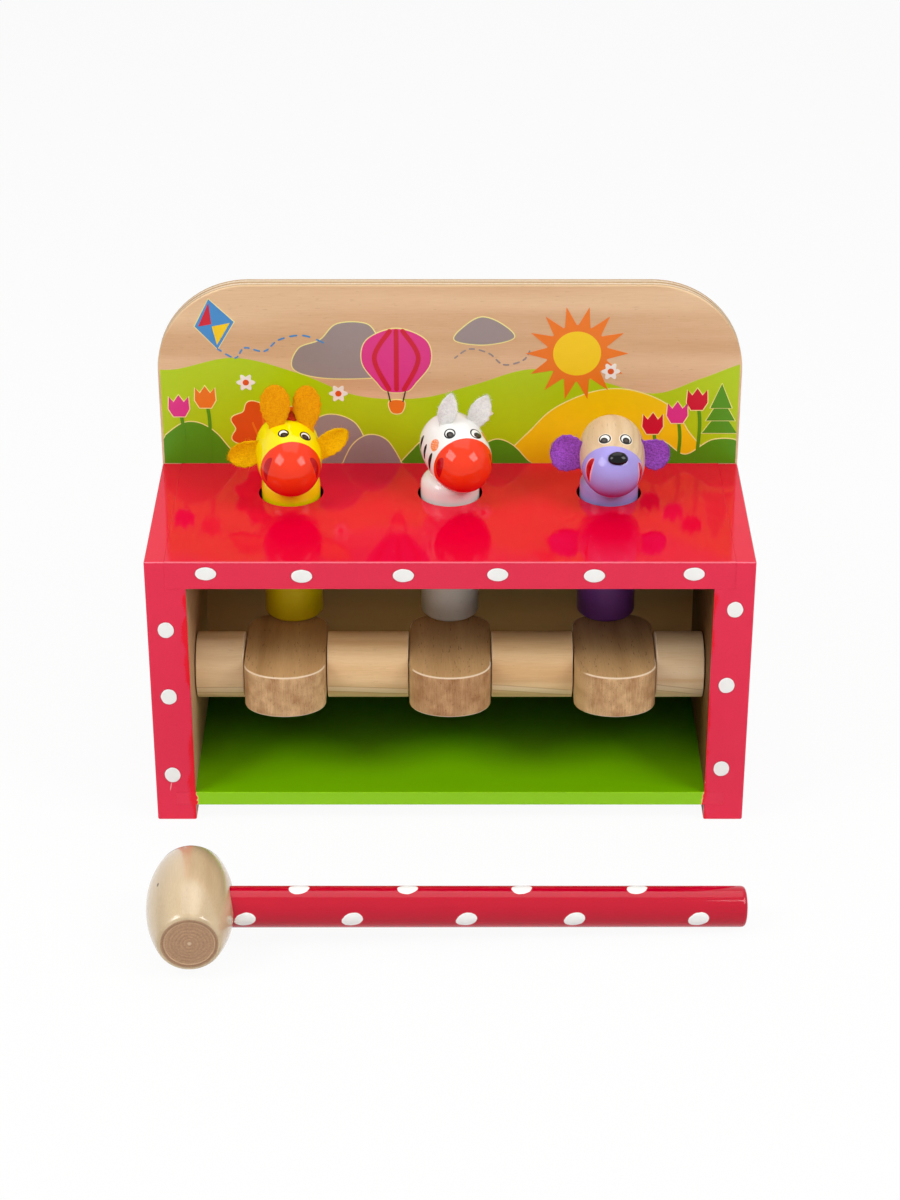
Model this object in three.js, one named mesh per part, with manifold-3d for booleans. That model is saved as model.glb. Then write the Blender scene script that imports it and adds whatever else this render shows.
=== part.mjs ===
import * as THREE from 'three';
import { mergeVertices } from 'three/addons/utils/BufferGeometryUtils.js';
import Module from 'manifold-3d';

// A child's pounding bench. Three animal pegs slide in the top of a small wooden bench. Each one
// stands on the rear end of a see-saw lever, and the levers turn on one steel rod between loose
// round spacers. A wooden mallet lies on the floor in front.
// Sizes are millimetres. +X is the player's right, +Y points away from the player, +Z is up.
// The bench is drawn with its front at y = 0 and the whole set is moved to its own middle last.

// Bench boards
const benchWidth = 240;
const benchHeight = 120;
const sideDepth = 87.6;
const sideThickness = 16;
const topThickness = 12;
const jointDepth = 8;
const shelfThickness = 6;
const shelfUnderside = 7.3;
const backThickness = 7;
const backHeight = 200;
const backCornerRadius = 38;

// Screws that hold the back board
const screwLength = 20;
const screwDiameter = 3;
const screwHeadDiameter = 6.4;
const screwHeadDepth = 2;
const sideScrewMargin = 20;
const sideScrewCount = 3;

// Rod, spacers and levers
const rodDiameter = 4;
const rodDrop = 64.3;
const rodHoleDepth = 7;
const spacerDiameter = 27;
const spacerEdge = 0.8;
const endPlay = 0.5;
const boreDiameter = 4.6;
const outerSpacerLength = 19.5;
const leverWidth = 33;
const leverThickness = 18.5;
const leverLength = 54.5;
const leverNoseLength = 11.5;
const leverEdge = 1;

// Pegs
const pegInset = 2;
const pegFromFront = 61;
const pegDiameter = 24;
const pegHoleDiameter = 26.5;
const pegFootEdge = 1;
const pegShoulder = 5;
const neckHeight = 9;
const pegContactArm = 17.5;
const dowelDiameter = 8;
const dowelDepth = 12;

// Egg-shaped heads, measured along the egg's own axis from its middle. A fullness is the
// power in the egg's outline: 2 is an ellipse, and more is blunter.
const headRadius = 13.2;
const headFront = 18;
const headBack = 18.5;
const snoutFullness = 2.4;
const crownFullness = 2.9;
const snoutTaper = 0.04;

// Felt
const feltThickness = 2.4;
const feltTuck = 4;

// The dog's nose, a flattened ball on the upper front of its snout. It faces away from the
// egg's axis by the given degrees.
const noseWidth = 8;
const noseHeight = 5.6;
const noseThickness = 4;
const noseAlong = 12.5;
const noseAside = 1.4;
const noseFacing = 58;

// Mallet
const malletDiameter = 33.8;
const malletEndDiameter = 23.9;
const malletLength = 48.6;
const handleDiameter = 16;
const handleReach = 214;
const handleGrip = 14;
const handleEdge = 0.8;
const malletFromLeft = 20.9;
const malletGap = 61.9;
const malletYaw = 3.46;

// Running clearance round separate pieces, and how many sides a round piece has. Large bends
// that show from the front get more.
const gap = 0.3;
const roundSides = 24;
const smallSides = 12;
const holeSides = 40;
const cornerSides = 20;

// Each animal's place along the row. Its head turns to the right and tilts down, in degrees,
// and its middle lies aside (to the right) and forward of the peg's axis and rises above the
// bench.
const animals = [
  {
    name: 'giraffe', place: -1, turn: 8, tilt: 15, aside: -0.1, forward: 6.3, rise: 18.9,
    neck: '#f2c400', head: '#f5c800',
  },
  {
    name: 'zebra', place: 0, turn: 20, tilt: 13, aside: 3, forward: 4.5, rise: 19.4,
    neck: '#f2f2f0', head: '#f4f4f2',
  },
  {
    name: 'dog', place: 1, turn: 0, tilt: 14, aside: 0.6, forward: 6.9, rise: 18.8,
    neck: '#7a4fc0', head: '#d9b98c',
  },
];

// Sizes that follow from the ones above
const innerHalf = benchWidth / 2 - sideThickness;
const boardHalf = innerHalf + jointDepth;
const backFace = sideDepth + backThickness;
const leverPitch = innerHalf - outerSpacerLength - 2 * endPlay - leverWidth / 2;
const pegPitch = leverPitch - pegInset;
const rodHeight = benchHeight - rodDrop;
const leverTop = rodHeight + leverThickness / 2;
const rodFromFront = pegFromFront - pegDiameter / 2 - pegContactArm;
const pegReachDown = benchHeight - leverTop - gap;
const radians = THREE.MathUtils.degToRad;

const wasm = await Module();
wasm.setup();

// Closed geometry as a solid, with shared corners merged and collapsed triangles left out
function toSolid(geometry) {
  const bare = geometry.clone();
  bare.deleteAttribute('normal');
  bare.deleteAttribute('uv');
  const merged = mergeVertices(bare, 1e-4);
  const corners = [];
  for (let i = 0; i < merged.index.count; i += 3) {
    const [a, b, c] = [0, 1, 2].map((k) => merged.index.getX(i + k));
    if (a !== b && b !== c && c !== a) corners.push(a, b, c);
  }
  return new wasm.Manifold(new wasm.Mesh({
    numProp: 3,
    vertProperties: Float32Array.from(merged.attributes.position.array),
    triVerts: Uint32Array.from(corners),
  }));
}

function toGeometry(solid) {
  const mesh = solid.getMesh();
  const geometry = new THREE.BufferGeometry();
  geometry.setAttribute('position', new THREE.BufferAttribute(mesh.vertProperties, 3));
  geometry.setIndex(new THREE.BufferAttribute(mesh.triVerts, 1));
  geometry.computeVertexNormals();
  return geometry;
}

function cut(geometry, tools) {
  let solid = toSolid(geometry);
  for (const tool of tools) solid = solid.subtract(toSolid(tool));
  return toGeometry(solid);
}

// One named piece with its own finish, added to a group
function add(group, name, geometry, color, roughness, metalness = 0) {
  const material = new THREE.MeshStandardMaterial({ color, roughness, metalness });
  const mesh = new THREE.Mesh(geometry, material);
  mesh.name = name;
  group.add(mesh);
  return mesh;
}

// A round bar along X from x0 to x1
function barAlongX(diameter, x0, x1, sides = smallSides) {
  const bar = new THREE.CylinderGeometry(diameter / 2, diameter / 2, x1 - x0, sides);
  bar.rotateZ(-Math.PI / 2);
  bar.translate((x0 + x1) / 2, 0, 0);
  return bar;
}

// A round bar along Z from z0 to z1
function barAlongZ(diameter, z0, z1, sides = smallSides) {
  const bar = new THREE.CylinderGeometry(diameter / 2, diameter / 2, z1 - z0, sides);
  bar.rotateX(Math.PI / 2);
  bar.translate(0, 0, (z0 + z1) / 2);
  return bar;
}

// An outline drawn in X and Z, run along Y from y0 to y1
function runAlongY(shape, y0, y1) {
  const run = new THREE.ExtrudeGeometry(shape, {
    depth: y1 - y0, bevelEnabled: false, curveSegments: cornerSides / 2,
  });
  run.rotateX(Math.PI / 2);
  run.translate(0, y1, 0);
  return run;
}

function outline(points) {
  return new THREE.Shape(points.map(([x, y]) => new THREE.Vector2(x, y)));
}

// A countersunk screw with its head at y = 0 and its tip towards the front, grown by extra
function screw(extra) {
  const shank = screwDiameter / 2 + extra;
  const head = screwHeadDiameter / 2 + extra;
  const point = screwDiameter / 2;
  const profile = [
    [0, -screwLength - extra],
    [shank, -screwLength + point - extra],
    [shank, -screwHeadDepth],
    [head, 0],
    [head, extra],
    [0, extra],
  ];
  return new THREE.LatheGeometry(profile.map(([r, y]) => new THREE.Vector2(r, y)), smallSides);
}

// Screw places on the back board, each with the board that it goes into
function screwPlaces() {
  const places = [];
  const rise = (benchHeight - 2 * sideScrewMargin) / (sideScrewCount - 1);
  for (const [board, x] of [['left', -1], ['right', 1]]) {
    for (let i = 0; i < sideScrewCount; i += 1) {
      places.push({ board, x: x * (benchWidth - sideThickness) / 2, z: sideScrewMargin + i * rise });
    }
  }
  for (const x of [-1, 1]) {
    places.push({ board: 'top', x: x * pegPitch / 2, z: benchHeight - topThickness / 2 });
  }
  return places;
}

function screwHoles(board) {
  return screwPlaces()
    .filter((place) => board === 'back' || place.board === board)
    .map((place) => screw(gap).translate(place.x, backFace, place.z));
}

// A side board: a rebate at its top takes the top board, and a groove near the floor the shelf
function sideBoard(board) {
  const hand = board === 'left' ? -1 : 1;
  const outer = benchWidth / 2;
  const shape = outline([
    [outer, 0],
    [outer, benchHeight],
    [boardHalf, benchHeight],
    [boardHalf, benchHeight - topThickness],
    [innerHalf, benchHeight - topThickness],
    [innerHalf, shelfUnderside + shelfThickness],
    [boardHalf, shelfUnderside + shelfThickness],
    [boardHalf, shelfUnderside],
    [innerHalf, shelfUnderside],
    [innerHalf, 0],
  ].map(([x, z]) => [hand * x, z]));
  const rodHole = barAlongX(boreDiameter, -innerHalf - rodHoleDepth, innerHalf + rodHoleDepth);
  rodHole.translate(0, rodFromFront, rodHeight);
  return cut(runAlongY(shape, 0, sideDepth), [rodHole, ...screwHoles(board)]);
}

// The top board with one round hole for each peg
function topBoard() {
  const shape = outline([[-boardHalf, 0], [boardHalf, 0], [boardHalf, sideDepth], [-boardHalf, sideDepth]]);
  for (const { place } of animals) {
    const hole = new THREE.Path();
    hole.absarc(place * pegPitch, pegFromFront, pegHoleDiameter / 2, 0, 2 * Math.PI, true);
    shape.holes.push(hole);
  }
  const board = new THREE.ExtrudeGeometry(shape, {
    depth: topThickness, bevelEnabled: false, curveSegments: holeSides / 2,
  });
  board.translate(0, 0, benchHeight - topThickness);
  return cut(board, screwHoles('top'));
}

// The tall plywood back board with round upper corners
function backBoard() {
  const half = benchWidth / 2;
  const bend = half - backCornerRadius;
  const shape = new THREE.Shape();
  shape.moveTo(-half, 0);
  shape.lineTo(half, 0);
  shape.lineTo(half, backHeight - backCornerRadius);
  shape.absarc(bend, backHeight - backCornerRadius, backCornerRadius, 0, Math.PI / 2, false);
  shape.absarc(-bend, backHeight - backCornerRadius, backCornerRadius, Math.PI / 2, Math.PI, false);
  shape.closePath();
  return cut(runAlongY(shape, sideDepth, backFace), screwHoles('back'));
}

function addBoards(bench) {
  const red = '#d3112f';
  add(bench, 'left_side_panel', sideBoard('left'), red, 0.3);
  add(bench, 'right_side_panel', sideBoard('right'), red, 0.3);
  add(bench, 'top_board', topBoard(), red, 0.15);
  const shelf = new THREE.BoxGeometry(2 * boardHalf, sideDepth, shelfThickness);
  const shelfMesh = add(bench, 'base_shelf', shelf, '#6faa10', 0.35);
  shelfMesh.position.set(0, sideDepth / 2, shelfUnderside + shelfThickness / 2);
  add(bench, 'back_board', backBoard(), '#dcc29a', 0.4);
  screwPlaces().forEach((place, i) => {
    const mesh = add(bench, `back_screw_${i + 1}`, screw(0), '#b9b9b4', 0.35, 0.9);
    mesh.position.set(place.x, backFace, place.z);
  });
}

// A loose round spacer on the rod between x0 and x1, its ends eased and its bore open
function spacer(x0, x1) {
  const ring = new THREE.Shape();
  ring.absarc(0, 0, spacerDiameter / 2 - spacerEdge, 0, 2 * Math.PI, false);
  const bore = new THREE.Path();
  bore.absarc(0, 0, boreDiameter / 2 + spacerEdge, 0, 2 * Math.PI, true);
  ring.holes.push(bore);
  const body = new THREE.ExtrudeGeometry(ring, {
    depth: x1 - x0 - 2 * spacerEdge,
    bevelThickness: spacerEdge,
    bevelSize: spacerEdge,
    bevelSegments: 1,
    curveSegments: roundSides / 2,
  });
  body.rotateY(Math.PI / 2);
  body.translate(x0 + spacerEdge, 0, 0);
  return body;
}

// A see-saw lever about its own pivot: straight sides, half-elliptic ends and a cross bore
function lever() {
  const half = leverWidth / 2 - leverEdge;
  const straight = leverLength / 2 - leverNoseLength;
  const nose = leverNoseLength - leverEdge;
  const plan = new THREE.Shape();
  plan.moveTo(half, -straight);
  plan.lineTo(half, straight);
  plan.absellipse(0, straight, half, nose, 0, Math.PI, false, 0);
  plan.lineTo(-half, -straight);
  plan.absellipse(0, -straight, half, nose, Math.PI, 2 * Math.PI, false, 0);
  const block = new THREE.ExtrudeGeometry(plan, {
    depth: leverThickness - 2 * leverEdge,
    bevelThickness: leverEdge,
    bevelSize: leverEdge,
    bevelSegments: 1,
    curveSegments: smallSides / 2,
  });
  block.translate(0, 0, leverEdge - leverThickness / 2);
  return cut(block, [barAlongX(boreDiameter, -leverWidth, leverWidth)]);
}

// Rod, levers and spacers, all on the rod's line
function addLevers(bench) {
  const axle = new THREE.Group();
  axle.position.set(0, rodFromFront, rodHeight);
  bench.add(axle);
  const rodEnd = innerHalf + rodHoleDepth - gap;
  add(axle, 'axle_rod', barAlongX(rodDiameter, -rodEnd, rodEnd), '#c4c6c8', 0.2, 1);
  for (const { name, place } of animals) {
    const mesh = add(axle, `${name}_lever`, lever(), '#b08f68', 0.5);
    mesh.position.x = place * leverPitch;
  }
  const innerEnd = leverWidth / 2 + endPlay;
  const outerStart = leverPitch + innerEnd;
  const spacers = [
    ['left_outer_spacer', endPlay - innerHalf, -outerStart],
    ['left_inner_spacer', innerEnd - leverPitch, -innerEnd],
    ['right_inner_spacer', innerEnd, leverPitch - innerEnd],
    ['right_outer_spacer', outerStart, innerHalf - endPlay],
  ];
  for (const [name, x0, x1] of spacers) add(axle, name, spacer(x0, x1), '#dcbf94', 0.5);
}

// How far the egg's surface lies from its axis at a distance along it: a superellipse on
// each side of the middle, thinner by a steady taper towards the snout
function eggRadius(along) {
  const share = Math.abs(along) / (along < 0 ? headBack : headFront);
  const fullness = along < 0 ? crownFullness : snoutFullness;
  const round = (1 - share ** fullness) ** (1 / fullness);
  return headRadius * round * (1 - snoutTaper * along / headFront);
}

// An egg about the Y axis with its snout towards +Y, grown by extra on every side. Rings
// crowd towards both ends as the cosine of an even angle does.
function egg(extra) {
  const rings = 14;
  const profile = [];
  for (let i = 0; i <= rings; i += 1) {
    const cosine = -Math.cos(Math.PI * i / rings);
    const reach = cosine < 0 ? headBack : headFront;
    const inside = i > 0 && i < rings;
    profile.push(new THREE.Vector2(inside ? eggRadius(cosine * reach) + extra : 0, cosine * (reach + extra)));
  }
  return new THREE.LatheGeometry(profile, roundSides);
}

// The middle of an animal's head, seen from the centre of its peg at the bench top
function headMiddle({ aside, forward, rise }) {
  return new THREE.Vector3(aside, -forward, rise);
}

// Moves what is drawn about an egg to where the animal's head is
function placeHead(geometry, animal) {
  geometry.rotateX(Math.PI + radians(animal.tilt));
  geometry.rotateZ(radians(animal.turn));
  geometry.translate(...headMiddle(animal));
  return geometry;
}

// A peg with an eased foot and a round shoulder. A saddle in its top fits under the head.
function peg(animal) {
  const radius = pegDiameter / 2;
  const profile = [
    [0, -pegReachDown],
    [radius - pegFootEdge, -pegReachDown],
    [radius, pegFootEdge - pegReachDown],
  ];
  const steps = 4;
  for (let i = 0; i <= steps; i += 1) {
    const a = Math.PI / 2 * i / steps;
    profile.push([
      radius - pegShoulder + pegShoulder * Math.cos(a),
      neckHeight - pegShoulder + pegShoulder * Math.sin(a),
    ]);
  }
  profile.push([0, neckHeight]);
  const body = new THREE.LatheGeometry(profile.map(([r, z]) => new THREE.Vector2(r, z)), roundSides);
  body.rotateX(Math.PI / 2);
  const socket = barAlongZ(dowelDiameter + 2 * gap, neckHeight - dowelDepth - gap, animal.rise);
  return cut(body, [placeHead(egg(gap), animal), socket]);
}

function head(animal) {
  const socket = barAlongZ(dowelDiameter + 2 * gap, -neckHeight, animal.rise + gap);
  return cut(placeHead(egg(0), animal), [socket]);
}

// A flat felt shape. It grows from a root on the X axis to its length along +Y, and is widest
// at the given share of its length. Its tip is half an ellipse.
function petal({ length, width, widest, rootWidth }) {
  const side = width / 2;
  const shoulder = length * widest;
  const shape = new THREE.Shape();
  shape.moveTo(-rootWidth / 2, -feltTuck);
  shape.lineTo(rootWidth / 2, -feltTuck);
  shape.lineTo(rootWidth / 2, 0);
  shape.quadraticCurveTo(side, shoulder / 2, side, shoulder);
  shape.absellipse(0, shoulder, side, length - shoulder, 0, Math.PI, false, 0);
  shape.quadraticCurveTo(-side, shoulder / 2, -rootWidth / 2, 0);
  const felt = new THREE.ExtrudeGeometry(shape, {
    depth: feltThickness, bevelEnabled: false, curveSegments: 5,
  });
  felt.translate(0, 0, -feltThickness / 2);
  return felt;
}

// A felt piece glued into a slot in a head. Its root is given from the head's middle, as
// millimetres right, back and up. Swing turns it from straight up towards the right and lean
// tips its top backwards, in degrees.
function felt(animal, piece) {
  const shape = petal(piece);
  shape.rotateZ(-radians(piece.swing));
  shape.rotateX(Math.PI / 2 - radians(piece.lean));
  shape.translate(piece.right, piece.back, piece.up);
  shape.translate(...headMiddle(animal));
  return cut(shape, [placeHead(egg(gap), animal)]);
}

const feltPieces = {
  giraffe: [
    {
      name: 'giraffe_left_ear', color: '#f0b400', length: 12.6, width: 11.5, widest: 0.35,
      rootWidth: 9, right: -12.7, back: 2, up: 1.8, swing: -104, lean: 14,
    },
    {
      name: 'giraffe_right_ear', color: '#f0b400', length: 13.4, width: 9.5, widest: 0.4,
      rootWidth: 8, right: 12.6, back: 2, up: 2.6, swing: 56, lean: 14,
    },
    {
      name: 'giraffe_left_horn', color: '#ee8a1c', length: 17.3, width: 12.3, widest: 0.55,
      rootWidth: 6.3, right: -4.8, back: 2, up: 13.2, swing: 0, lean: 4,
    },
    {
      name: 'giraffe_right_horn', color: '#ee8a1c', length: 18.3, width: 11.4, widest: 0.55,
      rootWidth: 6, right: 8.3, back: 5, up: 10.8, swing: -1, lean: 4,
    },
    {
      name: 'giraffe_tuft', color: '#c8311a', length: 3.9, width: 4.4, widest: 0.4,
      rootWidth: 3.4, right: 1, back: 4.9, up: 13.6, swing: 0, lean: 10,
    },
  ],
  zebra: [
    {
      name: 'zebra_left_ear', color: '#d9d9d6', length: 13, width: 7.8, widest: 0.42,
      rootWidth: 4, right: -5.3, back: 1.4, up: 13.2, swing: 13, lean: 4,
    },
    {
      name: 'zebra_right_ear', color: '#d9d9d6', length: 12.5, width: 8.9, widest: 0.42,
      rootWidth: 6, right: 6.7, back: 6.6, up: 11, swing: 23, lean: 4,
    },
  ],
  dog: [
    {
      name: 'dog_left_ear', color: '#7b3fb5', length: 13, width: 16.2, widest: 0.5,
      rootWidth: 10, right: -12.6, back: 2, up: -0.2, swing: -73, lean: 14,
    },
    {
      name: 'dog_right_ear', color: '#7b3fb5', length: 11, width: 13.8, widest: 0.5,
      rootWidth: 9, right: 12.6, back: 2, up: 2.2, swing: 104, lean: 14,
    },
  ],
};

function dogNose(animal) {
  const nose = new THREE.SphereGeometry(1, smallSides, 8);
  nose.scale(noseWidth / 2, noseThickness / 2, noseHeight / 2);
  nose.rotateX(-radians(noseFacing));
  nose.translate(noseAside, noseAlong, -eggRadius(noseAlong));
  return cut(placeHead(nose, animal), [placeHead(egg(gap), animal)]);
}

// One animal: its group stands at the centre of its peg hole, level with the bench top
function addAnimal(bench, animal) {
  const group = new THREE.Group();
  group.position.set(animal.place * pegPitch, pegFromFront, benchHeight);
  bench.add(group);
  add(group, `${animal.name}_peg`, peg(animal), animal.neck, 0.3);
  add(group, `${animal.name}_head`, head(animal), animal.head, 0.3);
  const dowel = barAlongZ(dowelDiameter, neckHeight - dowelDepth, animal.rise);
  add(group, `${animal.name}_head_dowel`, dowel, '#d8bb8e', 0.6);
  for (const piece of feltPieces[animal.name]) {
    add(group, piece.name, felt(animal, piece), piece.color, 1);
  }
  if (animal.name === 'dog') add(group, 'dog_nose', dogNose(animal), '#141414', 0.1);
}

// The mallet head: a barrel whose sides swell as a part of an ellipse between flat ends
function malletHead() {
  const middle = malletDiameter / 2;
  const end = malletEndDiameter / 2;
  const half = malletLength / 2;
  const spread = Math.acos(end / middle);
  const steps = 10;
  const profile = [[0, -half]];
  for (let i = 0; i <= steps; i += 1) {
    const a = spread * (2 * i / steps - 1);
    profile.push([middle * Math.cos(a), half * Math.sin(a) / Math.sin(spread)]);
  }
  profile.push([0, half]);
  return new THREE.LatheGeometry(profile.map(([r, y]) => new THREE.Vector2(r, y)), roundSides);
}

// The handle leaves the head's centre along +X and its far end rests on the floor
function addMallet(bench) {
  const mallet = new THREE.Group();
  const headHalf = malletDiameter / 2;
  mallet.position.set(malletFromLeft - benchWidth / 2, -malletGap - malletLength / 2, headHalf);
  mallet.rotation.z = radians(malletYaw);
  bench.add(mallet);
  const slope = Math.asin((headHalf - handleDiameter / 2) / handleReach);
  const socket = barAlongX(handleDiameter + 2 * gap, headHalf - handleGrip - gap, malletDiameter, roundSides);
  socket.rotateY(slope);
  add(mallet, 'mallet_head', cut(malletHead(), [socket]), '#c9a877', 0.35);
  const r = handleDiameter / 2;
  const profile = [
    [0, headHalf - handleGrip],
    [r, headHalf - handleGrip],
    [r, handleReach - handleEdge],
    [r - handleEdge, handleReach],
    [0, handleReach],
  ];
  const bar = new THREE.LatheGeometry(profile.map(([x, y]) => new THREE.Vector2(x, y)), roundSides);
  bar.rotateZ(-Math.PI / 2);
  const handle = add(mallet, 'mallet_handle', bar, '#d3112f', 0.2);
  handle.rotation.y = slope;
}

const bench = new THREE.Group();
addBoards(bench);
addLevers(bench);
for (const animal of animals) addAnimal(bench, animal);
addMallet(bench);

// The origin is the bottom centre of the whole set's box
const product = new THREE.Group();
product.add(bench);
product.updateMatrixWorld(true);
const box = new THREE.Box3().setFromObject(product, true);
bench.position.set(-(box.min.x + box.max.x) / 2, -(box.min.y + box.max.y) / 2, -box.min.z);
product.updateMatrixWorld(true);

export default product;
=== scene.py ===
import math

import bmesh
import bpy
import numpy as np
from bpy.props import FloatProperty, FloatVectorProperty, IntProperty, PointerProperty
from mathutils import Matrix, Vector
from mathutils.geometry import delaunay_2d_cdt


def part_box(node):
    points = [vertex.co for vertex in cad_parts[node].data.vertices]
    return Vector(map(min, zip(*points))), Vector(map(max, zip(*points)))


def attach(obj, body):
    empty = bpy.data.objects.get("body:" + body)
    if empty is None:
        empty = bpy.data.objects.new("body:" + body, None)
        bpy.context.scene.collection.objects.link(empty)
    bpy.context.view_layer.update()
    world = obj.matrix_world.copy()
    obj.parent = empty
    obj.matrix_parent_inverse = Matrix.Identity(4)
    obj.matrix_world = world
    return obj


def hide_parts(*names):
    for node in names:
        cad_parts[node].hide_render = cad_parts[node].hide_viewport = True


bl_info = {
    "name": "Pounding bench",
    "version": (1, 0, 0),
    "blender": (4, 5, 0),
    "location": "3D View > Sidebar > Pounding bench",
    "description": "Dresses a child's pounding bench with three animal pegs and its mallet",
    "category": "Add Mesh",
}

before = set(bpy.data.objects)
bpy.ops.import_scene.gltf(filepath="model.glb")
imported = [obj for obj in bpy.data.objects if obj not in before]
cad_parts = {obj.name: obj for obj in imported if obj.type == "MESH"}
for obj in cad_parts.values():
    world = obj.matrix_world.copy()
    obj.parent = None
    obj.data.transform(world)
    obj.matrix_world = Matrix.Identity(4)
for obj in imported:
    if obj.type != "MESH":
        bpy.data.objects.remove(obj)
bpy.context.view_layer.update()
MM = 0.001

# The bench's own planes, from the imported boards
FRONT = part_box("top_board")[0].y
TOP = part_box("top_board")[1].z
TOP_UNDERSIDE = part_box("top_board")[0].z
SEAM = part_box("top_board")[1].x
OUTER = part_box("right_side_panel")[1].x
SIDE_THICKNESS = 0.016
INNER = OUTER - SIDE_THICKNESS
BOARD_FRONT, BOARD_BACK = (corner.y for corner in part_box("back_board"))
# The same planes in millimetres, in which the finishes measure
FRONT_MM, TOP_MM, UNDER_MM = FRONT / MM, TOP / MM, TOP_UNDERSIDE / MM
OUTER_MM, INNER_MM = OUTER / MM, INNER / MM

# Radius of the holes for the pegs in millimetres, and in metres the radius of the bores for the rod and
# the width of the bevel at a bore's mouth
HOLE_RADIUS = 13.25
BORE = 0.0023
LIP = 0.0004

# Turn and tilt of each head in degrees, and its middle from the peg's axis at the bench top in metres
HEADS = {
    "giraffe": {"turn": 8, "tilt": 15, "middle": (-0.0001, -0.0063, 0.0189)},
    "zebra": {"turn": 20, "tilt": 13, "middle": (0.003, -0.0045, 0.0194)},
    "dog": {"turn": 0, "tilt": 14, "middle": (0.0006, -0.0069, 0.0188)},
}
# A head is an egg: how far it reaches before and behind its middle, and its greatest radius
EGG_FRONT = 0.018
EGG_BACK = 0.0185
EGG_RADIUS = 0.0132


def tint(code):
    """The linear colour of a hexadecimal sRGB code."""
    parts = [int(code[i:i + 2], 16) / 255 for i in (0, 2, 4)]
    return tuple(c / 12.92 if c <= 0.04045 else ((c + 0.055) / 1.055) ** 2.4 for c in parts)


def colour_of(label, code, note):
    """A colour property whose default is a hexadecimal sRGB code."""
    shade = tint(code)
    return FloatVectorProperty(name=label, description=note, default=shade, min=0, max=1, subtype="COLOR")


def length_of(label, value, note):
    """A length property in metres."""
    return FloatProperty(name=label, description=note, default=value, min=0, unit="LENGTH", precision=5)


def light_of(label, value, note):
    """A property for the power or strength of a light."""
    return FloatProperty(name=label, description=note, default=value, min=0)


class BenchSizes(bpy.types.PropertyGroup):
    """Sizes that a user may change without leaving the CAD frame."""

    edge: length_of("Board edge", 0.0007, "Radius of the boards' outer edges")
    seam: length_of("Seam edge", 0.00012, "Radius of the edges that meet in a painted seam")
    ink: length_of("Ink layer", 0.000012, "Thickness of one printed layer on the back board")
    felt: length_of("Felt", 0.0024, "Thickness of the felt ears and horns")
    fibres: IntProperty(name="Felt fibres", description="Loose fibres on each felt piece", default=900, min=0)


class PaintColours(bpy.types.PropertyGroup):
    """Paint, ink and felt colours."""

    red: colour_of("Red", "e20030", "Boards and mallet handle")
    # The front red is lighter and pinker than the top's red: painted light for the light and reflection that
    # the front faces catch
    front: colour_of("Front red", "f02c4f", "Front faces, where the paint is thin")
    dots: colour_of("Dots", "fdfdfa", "Painted dots")
    white: colour_of("White", "f4f4f0", "The zebra's head, ears and peg")
    green: colour_of("Green", "6fae00", "Shelf")
    # The front edge's lighter green is painted light
    green_lit_front: colour_of("Green edge", "92d400", "The shelf's front edge")
    lemon: colour_of("Lemon", "fde800", "The giraffe's head and peg")
    amber: colour_of("Amber", "fab400", "The giraffe's ears")
    orange: colour_of("Orange", "ff9c06", "The giraffe's horns")
    snout: colour_of("Snout", "f53a12", "Snouts of the giraffe and the zebra")
    # The snouts' lower side is a deeper red: a painted reflection of the red bench top
    snout_painted_reflection: colour_of("Snout shade", "e00810", "The snouts' lower side")
    lilac: colour_of("Lilac", "a99ce4", "The dog's snout and the top of its peg")
    # The lower side of the dog's snout is a deeper purple: a painted reflection of the red bench top
    lilac_painted_reflection: colour_of("Lilac shade", "9a48b0", "The lower side of the dog's snout")
    purple: colour_of("Purple", "8444a6", "The dog's ears and the lower part of its peg")
    tuft: colour_of("Tuft", "d23c1c", "The giraffe's tuft")
    crease: colour_of("Crease", "bc0414", "Painted creases beside the snouts")


class StageLight(bpy.types.PropertyGroup):
    """Studio light."""

    softbox: light_of("Softboxes", 5.0, "Power of each side softbox in watts")
    fill: light_of("Front", 4.0, "Power of the light in front in watts")
    overhead: light_of("Overhead", 5.8, "Power of the overhead light in watts")
    ambient: light_of("Ambient", 0.045, "Strength of the even light of the room")


class Wire:
    """One output socket. Arithmetic on it adds Math nodes to its material: | is the greater of two
    values and & the smaller."""

    def __init__(self, finish, socket):
        self.finish = finish
        self.socket = socket

    def math(self, operation, *inputs):
        return self.finish.node("Math", {"operation": operation}, dict(enumerate(inputs)))

    def __add__(self, other):
        return self.math("ADD", self, other)

    def __sub__(self, other):
        return self.math("SUBTRACT", self, other)

    def __rsub__(self, other):
        return self.math("SUBTRACT", other, self)

    def __mul__(self, other):
        return self.math("MULTIPLY", self, other)

    def __truediv__(self, other):
        return self.math("DIVIDE", self, other)

    def __pow__(self, other):
        return self.math("POWER", self, other)

    def __or__(self, other):
        return self.math("MAXIMUM", self, other)

    def __and__(self, other):
        return self.math("MINIMUM", self, other)

    def __abs__(self):
        return self.math("ABSOLUTE", self)

    def sine(self):
        return self.math("SINE", self)

    __radd__ = __add__
    __rmul__ = __mul__


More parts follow.
